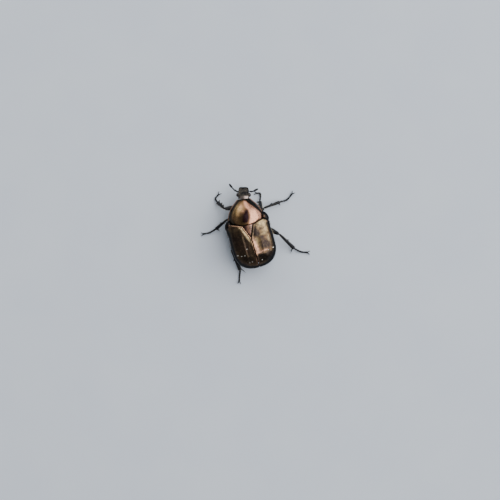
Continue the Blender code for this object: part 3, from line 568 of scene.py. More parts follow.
def caseRelief(forward, right, side):
    rear = smoothStep(forward, *relief["rear"])
    height = blend(relief["frontShare"], 1.0, rear) * hump(relief["seamRidge"], right)
    reach = relief["hollowIn"] if right < relief["hollowRight"] else relief["hollowOut"]
    hollow = relief["hollow"][side] * rear * smoothStep(forward, *relief["hollowEnd"])
    height += hollow * bump(right, relief["hollowRight"], reach)
    ribs = sum(hump(rib, right) for rib in relief["ribs"])
    height += relief["ribShare"][side] * ribs * smoothStep(forward, *relief["ribFront"])
    height += patchy((relief["step"], relief["shoulder"], relief["tailKnob"]), forward, right)
    edge = edgeDistance(forward, right, side)
    dip = smoothStep(edge, *relief["dipEdge"]) * smoothStep(right, *relief["dipRight"])
    height += relief["dip"][side] * dip + hump(relief["bead"], edge)
    return height + hump(relief["rolledEdge"], edge) + hump(relief["rolledSeam"], right)


def casePlace(across, along, side):
    level, arch = powerArc(math.pi / 2 * across ** wingCase["crowding"], wingCase["archPower"])
    seam, straight = wingCase["seam"], wingCase["straightShare"]
    if along <= straight:
        front = frontEdge(seam + level * (wingCase["halfWidth"] - seam), side)
        forward = blend(front, wingCase["tailStart"], along / straight)
        reach = 1.0
    else:
        back, reach = powerArc(math.pi / 2 * (along - straight) / (1 - straight), wingCase["tailPower"])
        forward = wingCase["tailStart"] - level * wingCase["tailLength"] * back
    right = seam + level * (shellHalfWidth(forward) - seam) * max(0.0, reach)
    up = blend(marginHeight(forward), ridgeHeight(forward), arch)
    up += caseRelief(forward, right, side) * (1 - level ** relief["fadePower"])
    return at(forward, side * right, up)


def ownPlace(point, pivot=(0.0, 0.0), yaw=0.0):  # forward and right of a point in a part's own frame
    forward = -(point.y - origin.y) / mm - pivot[0]
    right = -(point.x - origin.x) / mm - pivot[1]
    return (forward * math.cos(yaw) + right * math.sin(yaw),
            right * math.cos(yaw) - forward * math.sin(yaw))


def addMarks(piece, painter, pivot=(0.0, 0.0), yaw=0.0):
    # masks that the shell material reads, from painter(forward, right, level, up) at each vertex; they place
    # the painted highlights, painted reflections and painted shade, and the white flecks. level is 1 where
    # the surface lies flat and 0 where it stands upright
    mesh = piece.data
    values = [painter(*ownPlace(vertex.co, pivot, yaw), abs(vertex.normal.z), vertex.co.z / mm)
              for vertex in mesh.vertices]
    for kind in values[0]:
        layer = mesh.attributes.new(kind, "FLOAT", "POINT")
        layer.data.foreach_set("value", [clamp(value[kind]) for value in values])


# Marks of the wing cases: gold patches are partly the shell's own gold and partly painted reflection, pale
# patches are painted highlights, dark patches are painted dark reflection, and the flecks are the beetle's
# own white flecks.
casePatches = {
    -1: {"gold": ((2.2, 2.9, 0.6, 1.2, 0.25), (2.2, 3.6, 0.5, 0.5, 0.35), (0.9, 1.0, 0.9, 0.35, 0.5)),
         "pale": (),
         "dark": ((-1.0, 2.4, 4.5, 2.4, 0.72), (-5.0, 2.0, 1.6, 2.5, 0.5), (0.5, 4.0, 2.5, 0.9, 0.5),
                  (-2.2, 1.3, 2.0, 0.5, 0.35)),
         "fleck": ((-2.46, 1.61, 0.10, 0.14), (-3.29, 3.94, 0.12, 0.22), (-3.67, 3.17, 0.08, 0.16),
                   (-3.73, 2.41, 0.08, 0.14), (-5.48, 1.22, 0.08, 0.12), (-5.50, 1.80, 0.07, 0.10))},
    1: {"gold": ((2.2, 2.9, 0.9, 1.0, 0.9), (1.9, 4.0, 0.7, 0.5, 0.7), (0.7, 3.4, 0.6, 0.6, 0.6),
                 (-0.1, 2.9, 0.25, 0.6, 0.5), (-1.5, 3.7, 0.8, 0.3, 0.8), (-1.2, 1.0, 0.8, 0.3, 0.5)),
        "pale": ((2.2, 4.3, 0.35, 0.15, 0.7), (-1.3, 0.42, 1.0, 0.22, 0.9), (-2.8, 0.66, 0.8, 0.34, 1.0),
                 (-3.90, 0.8, 0.16, 0.5, 1.0), (-3.74, 1.6, 0.15, 0.5, 1.0), (-3.64, 2.5, 0.12, 0.6, 0.9)),
        "dark": ((-5.3, 2.0, 1.05, 2.6, 1.2), (-4.5, 3.3, 0.45, 0.9, 0.9), (-4.45, 0.9, 0.30, 0.6, 0.8),
                 (1.2, 1.2, 1.1, 0.60, 1.2), (1.5, 2.6, 1.2, 1.0, 0.15), (0.2, 1.5, 0.7, 0.75, 1.1),
                 (-0.7, 2.4, 0.4, 0.7, 0.9), (1.1, 2.5, 0.25, 0.3, 0.6), (-1.6, 2.4, 0.6, 0.9, 0.75),
                 (-2.6, 3.1, 0.85, 0.85, 1.3), (-2.7, 2.0, 0.60, 0.60, 0.9), (-0.2, 3.6, 0.25, 0.5, 0.5)),
        "fleck": ((-3.63, 4.07, 0.13, 0.24), (-3.84, 2.95, 0.08, 0.16), (-5.59, 1.02, 0.09, 0.14))},
}
# how the painted shade, painted highlights and painted dark reflections below are placed
casePaint = {"gapShade": 0.05, "bead": {-1: (1.0, 0.17, 0.13), 1: (0.4, 0.17, 0.13)}, "beadEnd": (4.2, 3.6),
             "beadHighlight": {-1: 0.75, 1: 0.0}, "stripe": {-1: (0.90, 0.48, 0.42), 1: (0.0, 0.48, 0.42)},
             "stripeEnd": (2.6, 1.9), "rim": {-1: (0.60, 0.30), 1: (0.75, 0.45)}, "rimFront": (2.2, 1.2),
             "rimShare": 0.9, "ridge": (0.75, 0.20, 0.06), "ridgeFront": (0.0, -1.0),
             "flank": (0.80, 0.52), "lowFlank": (0.42, 0.12), "lowShare": 0.65,
             "stripeClear": 0.7}


def paintWingCase(side):
    patches, paint = casePatches[side], casePaint

    def painter(forward, right, level, up):
        right = abs(right)
        edge = edgeDistance(forward, right, side)
        # painted shade in the gaps along the scutellum, along the base and along the seam
        gapShade = max(bump(edge, 0.0, paint["gapShade"]), bump(right, wingCase["seam"], paint["gapShade"]))
        # gold on the raised bead along the base is a painted highlight; on the left case pale is painted on
        # it too
        bead = hump(paint["bead"][side], edge) * smoothStep(right, *paint["beadEnd"])
        stripe = hump(paint["stripe"][side], edge) * smoothStep(right, *paint["stripeEnd"])
        # painted dark reflection along the side outline
        rim = smoothStep(outlineHalfWidth(forward) - right, *paint["rim"][side])
        rim *= paint["rimShare"] * smoothStep(forward, *paint["rimFront"])
        # painted highlight along the seam ridge
        ridge = hump(paint["ridge"], right) * smoothStep(forward, *paint["ridgeFront"])
        # painted dark reflection on steep faces, set by their slope
        flank = smoothStep(level, *paint["flank"])
        flank *= 1 - paint["lowShare"] * smoothStep(level, *paint["lowFlank"])
        gold, pale, dark = [patchy(patches[kind], forward, right) for kind in ("gold", "pale", "dark")]
        return {"edge": max(gapShade, flank, rim), "gold": max(bead, stripe, gold),
                "pale": max(ridge, paint["beadHighlight"][side] * bead, pale),
                "dark": dark * (1 - max(bead, paint["stripeClear"] * stripe)),
                "fleck": max(bump(forward, f, along) * bump(right, r, across)
                             for f, r, along, across in patches["fleck"])}
    return painter


def makeWingCase(hand):
    side = hands[hand]
    form = bmesh.new()
    addPlate(form, wingCase["columns"], wingCase["rows"],
             lambda across, along: casePlace(across, along, side), wingCase["thickness"])
    piece = finishPiece("wingCase" + hand, form, shell["wingCase"],
                        ("elytron_" + hand.lower(),))
    addMarks(piece, paintWingCase(side))


for hand in hands:
    makeWingCase(hand)
print("wing cases made")


# Scutellum and pronotum
scutellum = {"length": 2.52, "halfWidth": 1.05, "thickness": 0.5, "sidePower": 1.15, "lift": 0.02,
             "fall": 0.04, "dish": (1.9, 0.0, 0.8, 0.5, 0.05), "columns": 36, "rows": 44}
scutellumPaint = {"edge": 0.10, "lean": 0.92, "pale": 0.6, "reflectionRight": (-0.05, 0.35), "dark": 0.9,
                  "darkReflectionLeft": (0.0, -0.4), "darkReflectionFront": (0.8, 1.8)}


def scutellumPlace(across, along):
    forward = scutellum["length"] * along
    right = scutellum["halfWidth"] * (1 - (1 - along) ** scutellum["sidePower"]) * (2 * across - 1)
    up = backHeight(forward, right) + scutellum["lift"] - scutellum["fall"] * right ** 2
    return at(forward, right, up - patchy((scutellum["dish"],), forward, right))


def paintScutellum(forward, right, level, up):
    paint = scutellumPaint
    inside = (scutellum["halfWidth"] * forward / scutellum["length"] - abs(right)) * paint["lean"]
    # painted shade along the outline, pale painted reflection on the right half and painted dark reflection
    # on the left, stronger towards the front
    return {"edge": bump(inside, 0.0, paint["edge"]),
            "pale": paint["pale"] * smoothStep(right, *paint["reflectionRight"]),
            "dark": paint["dark"] * smoothStep(right, *paint["darkReflectionLeft"])
            * smoothStep(forward, *paint["darkReflectionFront"])}


def makeScutellum():
    form = bmesh.new()
    addPlate(form, scutellum["columns"], scutellum["rows"], scutellumPlace, scutellum["thickness"])
    piece = finishPiece("scutellumPlate", form, shell["scutellum"], ("scutellum",))
    addMarks(piece, paintScutellum)


pronotum = {"pivot": (3.2, -0.12), "yaw": math.radians(9), "length": 5.32, "widest": 1.2, "rearReach": 2.8,
            "halfWidth": 3.92, "frontHalfWidth": 1.45, "taper": 1.75, "power": 2.3, "base": -0.59,
            "sweep": 1.0, "skew": 0.22, "lobe": (0.10, 0.0, 0.25), "edge": 4.45, "edgeFall": 0.17,
            "ridge": 7.45, "frontFall": 0.075, "rearFall": 0.10, "ledge": 0.17, "ledgeRise": (0.05, 0.16),
            "bead": (0.05, 0.06, 0.05), "rolledBase": (-0.10, 0.0, 0.012), "sides": 200, "rings": 100}
pronotumPaint = {"rim": (0.15, 0.09), "rimUp": (0.21, 0.10), "soft": 0.25, "front": (4.70, 5.0),
                 "frontLean": 0.20, "frontMiddle": -0.1, "gapShade": 0.05, "leftShare": 0.90,
                 "flank": (0.30, 0.10), "flankShare": 0.25, "reflectionStart": (-0.15, 0.25),
                 "darkReflectionEnd": (0.40, 0.05)}
pronotumReflections = {  # forward, and how far in the painted dark reflection band of that side reaches or where the half with the pale painted reflection begins
    1: ((-1.0, 0.05), (1.3, 0.15), (1.9, 0.55), (2.9, 1.05), (4.0, 1.50), (5.4, 1.60)),
    -1: ((-1.0, 1.0), (0.3, 1.2), (1.2, 1.00), (2.4, 0.85), (4.0, 0.90), (5.4, 1.10)),
    "pale": ((-1.0, 0.30), (0.1, 0.63), (1.5, 0.96), (2.6, 0.78), (3.3, 0.20), (3.9, -0.05), (5.4, -0.10)),
}
# gold patches are partly the shell's own gold and partly painted reflection, pale patches are painted
# highlights, dark patches are painted dark reflection
pronotumPatches = {
    "pale": ((3.8, -0.85, 0.45, 0.35, 0.5), (2.55, -0.43, 0.22, 0.18, 0.6)),
    "gold": ((3.4, -1.2, 0.75, 0.65, 1.3), (2.2, -1.9, 0.7, 0.5, 0.5), (1.0, -2.0, 0.5, 0.4, 0.3)),
    "dark": ((1.25, 0.05, 1.00, 0.85, 1.4), (2.5, 0.35, 0.65, 0.45, 0.8), (0.3, -0.4, 0.5, 0.9, 0.7),
             (2.2, -1.0, 0.35, 0.5, 0.4), (1.2, -1.2, 0.6, 0.5, 0.35)),
}


def pronotumHalfWidth(forward):
    if forward < pronotum["widest"]:
        back = (pronotum["widest"] - forward) / pronotum["rearReach"]
        return pronotum["halfWidth"] * math.sqrt(1 - back ** 2)
    share = (forward - pronotum["widest"]) / (pronotum["length"] - pronotum["widest"])
    drop = pronotum["halfWidth"] - pronotum["frontHalfWidth"]
    return pronotum["halfWidth"] - drop * share ** pronotum["taper"]


def pronotumBase(out):  # rear edge, by how far out to the side
    return pronotum["base"] + pronotum["sweep"] * out ** 2 + pronotum["skew"] * out


def pronotumEdgeHeight(forward):
    return pronotum["edge"] - pronotum["edgeFall"] * forward


def pronotumRidgeHeight(forward):
    return (pronotum["ridge"] - pronotum["frontFall"] * max(0.0, forward) ** 2
            - pronotum["rearFall"] * max(0.0, -forward))


def pronotumAt(forward, right, up):
    return turned(pronotum["pivot"], pronotum["yaw"], forward, right, up)


def pronotumPlace(across, along):
    out, arch = powerArc(math.pi / 2 * (2 * across - 1), pronotum["power"])
    forward = blend(pronotumBase(out) + hump(pronotum["lobe"], out), pronotum["length"], along)
    ledge = pronotum["ledge"] * smoothStep(arch, *pronotum["ledgeRise"])
    up = blend(pronotumEdgeHeight(forward), pronotumRidgeHeight(forward), arch)
    up += hump(pronotum["bead"], arch) + hump(pronotum["rolledBase"], along)
    return pronotumAt(forward, out * (pronotumHalfWidth(forward) - ledge), up)


def pronotumUnder(across, along):
    place = pronotumPlace(across, along)
    forward = ownPlace(place, pronotum["pivot"], pronotum["yaw"])[0]
    return Vector((place.x, place.y, pronotumEdgeHeight(forward) * mm))


def paintPronotum(forward, right, level, up):
    paint = pronotumPaint
    half = pronotumHalfWidth(min(forward, pronotum["length"]))
    inside = half - abs(right)
    # painted highlight line along the outer edge, at the height of the rim
    rim = smoothStep(inside, *paint["rim"])
    rim *= bump(up, pronotumEdgeHeight(forward) + paint["rimUp"][0], paint["rimUp"][1])
    # painted dark reflection in a band inside each side and along the front, weaker on the left and on steep
    # flanks
    reach = alongTable(pronotumReflections[1 if right > 0 else -1], forward)[0]
    side = smoothStep(inside, reach + paint["soft"], reach - paint["soft"])
    start, end = paint["front"]
    front = smoothStep(forward, start - paint["frontLean"] * abs(right - paint["frontMiddle"]), end)
    darkReflectionBand = max(side, front) * (1.0 if right > 0 else paint["leftShare"])
    darkReflectionBand *= 1 - paint["flankShare"] * smoothStep(level, *paint["flank"])
    # painted shade in the gap along the rear edge
    gapShade = bump(forward - pronotumBase(right / half), 0.0, paint["gapShade"])
    gold, pale, dark = [patchy(pronotumPatches[kind], forward, right) for kind in ("gold", "pale", "dark")]
    # the right half gets the pale painted reflection of the light on the right; the dark patches stay left of
    # it
    inner = alongTable(pronotumReflections["pale"], forward)[0]
    reflectedHalf = smoothStep(right - inner, *paint["reflectionStart"])
    return {"edge": max(gapShade, darkReflectionBand * (1 - rim)), "gold": gold, "pale": max(rim, reflectedHalf, pale),
            "dark": dark * smoothStep(right - inner, *paint["darkReflectionEnd"])}


def makePronotum():
    form = bmesh.new()
    addPillow(form, pronotum["sides"], pronotum["rings"], pronotumPlace, pronotumUnder)
    piece = finishPiece("pronotumShell", form, shell["pronotum"], ("pronotum",))
    addMarks(piece, paintPronotum, pronotum["pivot"], pronotum["yaw"])


makeScutellum()
makePronotum()
print("scutellum and pronotum made")


# Body under the shell
body = {"inset": 0.95, "insetRise": 3, "sideInset": 0.15, "gap": 0.3, "sideDrop": 0.05, "power": 2.2,
        "belly": 1.7, "tailRise": 0.035, "tailFrom": -1.0, "tailPower": 1.9, "breastRise": 0.05,
        "breastFrom": 1.5}
belly = {"front": 1.35, "hips": -1.15, "end": -5.95, "plates": 5, "step": 0.12, "drawn": 0.45,
         "stepFront": 0.10, "stepBack": 0.03, "hairTurns": ((-0.9, -0.1), (-3.04, -2.24)),
         "mesh": (112, 150)}


def bellyHeight(forward):
    return (body["belly"] + body["tailRise"] * max(0.0, body["tailFrom"] - forward) ** body["tailPower"]
            + body["breastRise"] * max(0.0, forward - body["breastFrom"]))


def sideHeight(forward):
    return marginHeight(forward) - body["gap"] - body["sideDrop"]


def trunkPlace(turn, forward, drawn=0.0):  # place round the body; a quarter turn is the middle of its back
    high, out = powerArc(turn, body["power"])
    side = body["sideInset"] + drawn
    if high >= 0:
        inset = blend(side, body["inset"], min(1.0, high * body["insetRise"]))
        right = (outlineHalfWidth(forward) - inset) * out
        up = blend(sideHeight(forward), backHeight(forward, right, body["inset"]), high)
    else:
        right = (outlineHalfWidth(forward) - side) * out
        up = blend(sideHeight(forward), bellyHeight(forward) + drawn, -high)
    return at(forward, right, up)


def abdomenPlace(turn, share):  # each belly plate stands a step above the next one
    forward = blend(belly["front"], belly["end"], share)
    if forward > belly["hips"]:
        return trunkPlace(turn, forward, belly["drawn"])
    length = (belly["end"] - belly["hips"]) / belly["plates"]
    inPlate = (forward - belly["hips"]) / length % 1.0
    step = max(bump(inPlate, 0.0, belly["stepFront"]), bump(inPlate, 1.0, belly["stepBack"]))
    return trunkPlace(turn, forward, belly["step"] * step)


def makeAbdomen():
    form = bmesh.new()
    addTube(form, *belly["mesh"], abdomenPlace)
    for turns in belly["hairTurns"]:
        growHairs("body", squares["belly"], abdomenPlace, "belly", turns)
    finishPiece("bellyPlates", form, shell["belly"], ("abdomen",))


breast = {"neck": 2.0, "front": 3.5, "middle": 2.3, "rear": 2.0, "back": 1.62, "under": (-3.1, -0.04),
          "stations": (  # share along, half width, top, side and underside
              (0.0, 3.3, 3.95, 3.45, 2.35), (0.5, 4.15, 4.0, 3.75, 1.95), (0.75, 4.5, 4.0, 3.8, 1.8)),
          "core": (2.2, 0.9), "coreUp": 4.0, "coreShrink": 0.12,
          "knob": (4.15, 0.0, 1.85), "knobRadii": (0.80, 0.55, 0.40),
          "mesh": (96, 60), "coreMesh": (72, 12), "knobMesh": (40, 28)}
gapFill = {"front": 4.3, "back": 1.7, "power": 2.4, "top": (6.35, 6.85), "halfWidth": (2.9, 3.8),
           "side": 3.9, "sag": 0.4, "lean": -0.10,
           "rise": (0.0, 0.5), "widen": (0.0, 0.6), "mesh": (72, 24)}


def gapPlace(turn, share):  # what shows in the gap between pronotum and wing cases
    high, out = powerArc(turn, gapFill["power"])
    top = blend(*gapFill["top"], smoothStep(share, *gapFill["rise"]))
    width = blend(*gapFill["halfWidth"], smoothStep(share, *gapFill["widen"]))
    return at(blend(gapFill["front"], gapFill["back"], share), out * width + gapFill["lean"] * (1 - share),
              blend(gapFill["side"], top, high) if high > 0 else gapFill["side"] + gapFill["sag"] * high)


def breastPlace(turn, share):  # from the neck over the straight middle to the rear
    neckEnd, straightEnd = breast["stations"][1][0], breast["stations"][2][0]
    if share > straightEnd:
        rear = (share - straightEnd) / (1 - straightEnd)
        return trunkPlace(turn, blend(breast["rear"], breast["back"], rear))
    high, out = powerArc(turn, body["power"])
    width, top, side, low = alongTable(breast["stations"], share)
    up = blend(side, top if high > 0 else low, abs(high))
    if share < neckEnd:
        start = pronotumAt(breast["neck"], out * width, up)
        return start.lerp(at(breast["front"], out * width, up), share / neckEnd)
    straight = (share - neckEnd) / (straightEnd - neckEnd)
    return at(blend(breast["front"], breast["middle"], straight), out * width, up)


def corePlace(turn, share):  # what shows in the narrow gap in front of the hind hips
    forward = blend(*breast["core"], share)
    return trunkPlace(turn, forward).lerp(at(forward, 0, breast["coreUp"]), breast["coreShrink"])


def makeThorax():
    form = bmesh.new()
    addTube(form, *breast["mesh"], breastPlace)
    addTube(form, *gapFill["mesh"], gapPlace)
    addTube(form, *breast["coreMesh"], corePlace)
    growHairs("body", squares["breast"], breastPlace, "breast", breast["under"])
    addBall(form, at(*breast["knob"]), breast["knobRadii"], 0.0, *breast["knobMesh"])
    finishPiece("breastPlate", form, shell["belly"], ("thorax",))


hindHip = {"front": 1.35, "back": -0.85, "arc": (0.985, 0.0), "depth": 0.6, "corner": 0.22,
           "cornerPower": 3, "cornerReach": 0.35, "cornerBack": 0.15, "edge": 0.05,
           "hairTurns": (0.25, 2.2), "mesh": (72, 24)}
hips = {"Front": {"forward": 3.75, "right": 0.95, "up": 2.15, "radii": (0.74, 0.74, 0.84)},
        "Mid": {"forward": 3.1, "right": 1.25, "up": 1.75, "radii": (0.68, 0.85, 0.62)}}
hipCone = {"power": 2.3, "swell": 0.16, "lean": 0.22, "mesh": (48, 32), "hairTurns": (0.0, 6.28)}


def hindHipSurface(side, depth):
    def place(across, along):
        forward = blend(hindHip["front"], hindHip["back"], along)
        down, out = powerArc(math.pi / 2 * blend(*hindHip["arc"], across), body["power"])
        corner = hindHip["corner"] * along ** hindHip["cornerPower"]
        corner *= bump(across, 1.0, hindHip["cornerReach"])
        right = (outlineHalfWidth(forward) - body["sideInset"] - depth) * out + corner
        up = blend(sideHeight(forward), bellyHeight(forward) + depth, down)
        return at(forward - hindHip["cornerBack"] * corner, side * (right + hindHip["edge"] * (1 - out)), up)
    return place


def hipConePlace(centre, radii, side):  # a blunt cone, widest near its top, that leans out to the thigh
    def place(turn, share):
        out, down = powerArc(math.pi * share, hipCone["power"])
        width = out * (1 + hipCone["swell"] * down)
        lean = hipCone["lean"] * (share - 0.5) * side
        return centre + Vector((-(width * radii[0] * math.cos(turn) + lean),
                                -width * radii[1] * math.sin(turn), down * radii[2])) * mm
    return place


def makeHips():
    for hand, side in hands.items():
        surfaces = hindHipSurface(side, 0.0), hindHipSurface(side, hindHip["depth"])
        form = bmesh.new()
        addPillow(form, *hindHip["mesh"], *surfaces)
        growHairs("body", squares["hipHind" + hand], pillowPlace(*surfaces), "hipHind",
                  hindHip["hairTurns"])
        finishPiece("hipHind" + hand, form, shell["belly"], ("coxa_hind_" + hand.lower(),))
    for pair, hip in hips.items():
        lay = pronotumAt if pair == "Front" else at
        for hand, side in hands.items():
            centre = lay(hip["forward"], side * hip["right"], hip["up"])
            place = hipConePlace(centre, hip["radii"], side)
            form = bmesh.new()
            addTube(form, *hipCone["mesh"], place)
            growHairs("body", squares["hip" + pair + hand], place, "hip" + pair, hipCone["hairTurns"])
            finishPiece("hip" + pair + hand, form, shell["belly"],
                        ("coxa_" + pair.lower() + "_" + hand.lower(),))


throat = {"back": 1.5, "front": 5.3, "low": (2.5, 2.75), "lowPower": 1.3, "top": 0.35, "crown": 0.45,
          "crownPower": 4, "inset": 0.12, "under": (-3.1, -0.04), "mesh": (96, 40)}


def throatSurface(top):
    def place(across, along):
        forward = blend(throat["back"], throat["front"], along)
        out = 2 * across - 1
        edge = pronotumEdgeHeight(forward)
        if top:
            up = edge + throat["top"] - throat["crown"] * out ** throat["crownPower"]
        else:
            up = blend(blend(*throat["low"], along), edge - body["gap"], abs(out) ** throat["lowPower"])
        return pronotumAt(forward, out * (pronotumHalfWidth(forward) - throat["inset"]), up)
    return place


def makeProsternum():
    surfaces = throatSurface(True), throatSurface(False)
    form = bmesh.new()
    addPillow(form, *throat["mesh"], *surfaces)
    growHairs("body", squares["throat"], pillowPlace(*surfaces), "throat", throat["under"])
    finishPiece("throatPlate", form, shell["belly"], ("prosternum",))


tail = {"front": -6.2, "sideInset": 0.25, "taper": 0.55, "lowCurve": 0.10, "bulge": 0.62,
        "evenShare": 0.25, "arc": (0.15, 0.85), "mesh": (80, 30)}


def tailSurface(bulge):
    def place(across, along):
        front = tail["front"]
        width = (outlineHalfWidth(front) - tail["sideInset"]) * (1 - tail["taper"] * (1 - along) ** 2)
        out = 2 * across - 1
        low = bellyHeight(front) + tail["lowCurve"] * out ** 2 * (1 - along)
        roundness = max(0.0, 1 - out ** 2) * math.sin(math.pi * blend(*tail["arc"], along))
        return at(front - bulge * blend(tail["evenShare"], 1.0, roundness), width * out,
                  blend(low, sideHeight(front), along))
    return place


def makeTailPlate():
    form = bmesh.new()
    addPillow(form, *tail["mesh"], tailSurface(tail["bulge"]), tailSurface(0.0))
    finishPiece("tailPlate", form, shell["head"], ("pygidium",))


wedge = {"place": (3.45, 4.02, 4.40), "radii": (1.35, 0.92, 1.2), "yaw": -0.38, "cut": 4.15,
         "highlightForward": (1.0, 3.5, 0.30), "highlightRight": (1.0, 4.0, 0.20), "highlightPale": 0.6, "dark": 0.5,
         "edge": (0.1, 1.0), "shadeUp": (4.4, 5.1), "shadeShare": 0.95, "mesh": (64, 44)}


def paintWedge(forward, right, level, up):
    # a painted highlight spot on the wedge; the rest is painted shade, darkest towards its top under the
    # pronotum
    highlight = hump(wedge["highlightForward"], forward) * hump(wedge["highlightRight"], abs(right))
    edge = wedge["shadeShare"] * blend(*wedge["edge"], smoothStep(up, *wedge["shadeUp"]))
    return {"pale": wedge["highlightPale"] * highlight, "dark": wedge["dark"], "edge": (1 - highlight) * edge}


def makeShoulderWedges():
    for hand, side in hands.items():
        forward, right, up = wedge["place"]
        form = bmesh.new()
        addBall(form, at(forward, side * right, up), wedge["radii"], side * wedge["yaw"], *wedge["mesh"])
        bmesh.ops.bisect_plane(form, geom=form.verts[:] + form.edges[:] + form.faces[:],
                               plane_co=at(0, 0, wedge["cut"]), plane_no=(0, 0, -1), clear_outer=True)
        bmesh.ops.contextual_create(form, geom=[edge for edge in form.edges if edge.is_boundary])
        piece = finishPiece("wedge" + hand, form, shell["wingCase"],
                            ("mesepimeron_" + hand.lower(),))
        addMarks(piece, paintWedge)


makeAbdomen()
makeThorax()
makeHips()
makeProsternum()
makeTailPlate()
makeShoulderWedges()
print("body made")


# Head, eyes, mouth parts and feelers
head = {"neck": (8.80, 0.84), "yaw": math.radians(16), "back": -0.35, "length": 2.3, "halfWidth": 1.22,
        "clypeus": 1.08, "clypeusFrom": 0.6, "clypeusReach": 0.45, "front": (-0.10, 2.3, 0.25),
        "waist": (-0.10, 0.98, 0.16), "notch": (0.18, 0.0, 0.28), "corner": 0.16,
        "cornerPower": 6, "power": 2.6, "height": 3.75, "drop": 0.95, "thick": (0.85, 0.26),
        "under": (1.0, 0.32), "plateFrom": 0.5, "plateReach": 0.7, "plateFlat": 0.35,
        "rim": 0.13, "rimFront": 0.05, "rimPower": 9, "rimFade": 0.2,
        "underPower": 0.8, "hairTurns": (0.15, 2.99), "mesh": (96, 60)}
headPaint = {"side": (0.78, 0.90), "sideFront": (0.9, 1.2), "front": (1.85, 2.05), "level": (0.05, 0.35),
             "neck": (0.34, 0.20), "neckSide": (0.95, 0.7), "neckRight": (-0.1, 0.5),
             "neckShare": (0.10, 1.0), "pale": 0.9, "waist": (0.5, 0.98, 0.15)}
eye = {"place": (0.55, 1.24), "radii": (0.48, 0.42, 0.54), "mesh": (40, 28)}


def headAt(forward, right, up):
    return turned(head["neck"], head["yaw"], forward, right,
                  head["height"] + up - head["drop"] * forward / head["length"])


def headHalfWidth(forward):
    share = clamp((forward - head["clypeusFrom"]) / head["clypeusReach"])
    clypeus = head["clypeus"] + hump(head["front"], forward)
    return blend(head["halfWidth"], clypeus, share) + hump(head["waist"], forward)


def headPlace(turn, share):
    out, arch = powerArc(math.pi / 2 - turn, head["power"])
    front = head["length"] - hump(head["notch"], out) - head["corner"] * abs(out) ** head["cornerPower"]
    forward = blend(head["back"], front, share)
    plate = clamp((forward - head["plateFrom"]) / head["plateReach"])
    if arch >= 0:
        rim = head["rim"] * plate * max(abs(out) ** head["rimPower"], bump(share, 1.0, head["rimFront"]))
        dome = blend(arch, arch ** head["plateFlat"], plate)
        up = blend(*head["thick"], plate) * dome + rim * arch ** head["rimFade"]
    else:
        up = -blend(*head["under"], plate) * abs(arch) ** head["underPower"]
    return headAt(forward, out * headHalfWidth(forward), up)


def paintHead(forward, right, level, up):
    paint = headPaint
    side = abs(right) / headHalfWidth(forward)
    # painted shade along the sides and the front of the head
    sideShade = smoothStep(side, *paint["side"]) * smoothStep(forward, *paint["sideFront"])
    frontShade = smoothStep(forward, *paint["front"]) * smoothStep(level, *paint["level"])
    # painted highlight on the back of the head, stronger on its right
    neck = smoothStep(forward, *paint["neck"]) * smoothStep(side, *paint["neckSide"])
    neck *= blend(*paint["neckShare"], smoothStep(right, *paint["neckRight"]))
    return {"edge": max(sideShade, frontShade), "pale": paint["pale"] * neck,
            "dark": hump(paint["waist"], forward)}


def makeHead():
    form = bmesh.new()
    addTube(form, *head["mesh"], headPlace)
    growHairs("body", squares["head"], headPlace, "head", head["hairTurns"])
    piece = finishPiece("headShield", form, shell["head"], ("head",), angle=50)
    addMarks(piece, paintHead, head["neck"], head["yaw"])


def makeEyes():
    for hand, side in hands.items():
        centre = headAt(eye["place"][0], side * eye["place"][1], 0.0)
        form = bmesh.new()
        addBall(form, centre, eye["radii"], head["yaw"], *eye["mesh"])
        finishPiece("eye" + hand, form, eyeFacets, ("eye_" + hand.lower(),))


lip = {"back": 0.35, "front": 1.55, "halfWidth": (0.46, 0.64), "level": -0.42, "backDrop": (-1.0, 0.2, 0.9),
       "sag": 0.40, "arc": (0.2, 0.9), "groove": (0.08, 0.0, 0.2), "thickness": 0.12, "mesh": (24, 20)}
palp = {"overlap": 0.08, "rounded": 0.25, "mesh": (14, 10),
        "joints": ((0.95, 0.98, -0.72, 0.26), (1.25, 1.05, -0.86, 0.32), (1.55, 1.06, -0.94, 0.32),
                   (2.02, 0.88, -1.00, 0.36))}  # their places and thickness


def lipPlace(across, along):
    out = 2 * across - 1
    forward = blend(lip["back"], lip["front"], along)
    right = out * blend(*lip["halfWidth"], math.sin(math.pi * along))
    sag = lip["sag"] * math.sqrt(max(0.0, 1 - out ** 2)) * math.sin(math.pi * blend(*lip["arc"], along))
    up = lip["level"] + hump(lip["backDrop"], forward) + hump(lip["groove"], out)
    return headAt(forward, right, up - sag)


def makeMouth():
    form = bmesh.new()
    addSheet(form, *lip["mesh"], lipPlace)
    bmesh.ops.recalc_face_normals(form, faces=form.faces)
    bmesh.ops.solidify(form, geom=form.faces[:], thickness=lip["thickness"] * mm)
    finishPiece("lowerLip", form, shell["head"], ("lower_lip",))
    for hand, side in hands.items():
        form = bmesh.new()
        for (f0, r0, u0, size0), (f1, r1, u1, size1) in zip(palp["joints"], palp["joints"][1:]):
            start, end = headAt(f0, side * r0, u0), headAt(f1, side * r1, u1)
            addLimb(form, [start, start.lerp(end, 0.5), end.lerp(start, -palp["overlap"])],
                    lambda share: (blend(size0, size1, share),) * 2, *palp["mesh"], palp["rounded"])
        finishPiece("palp" + hand, form, legBlack, ("palp_" + hand.lower(),))


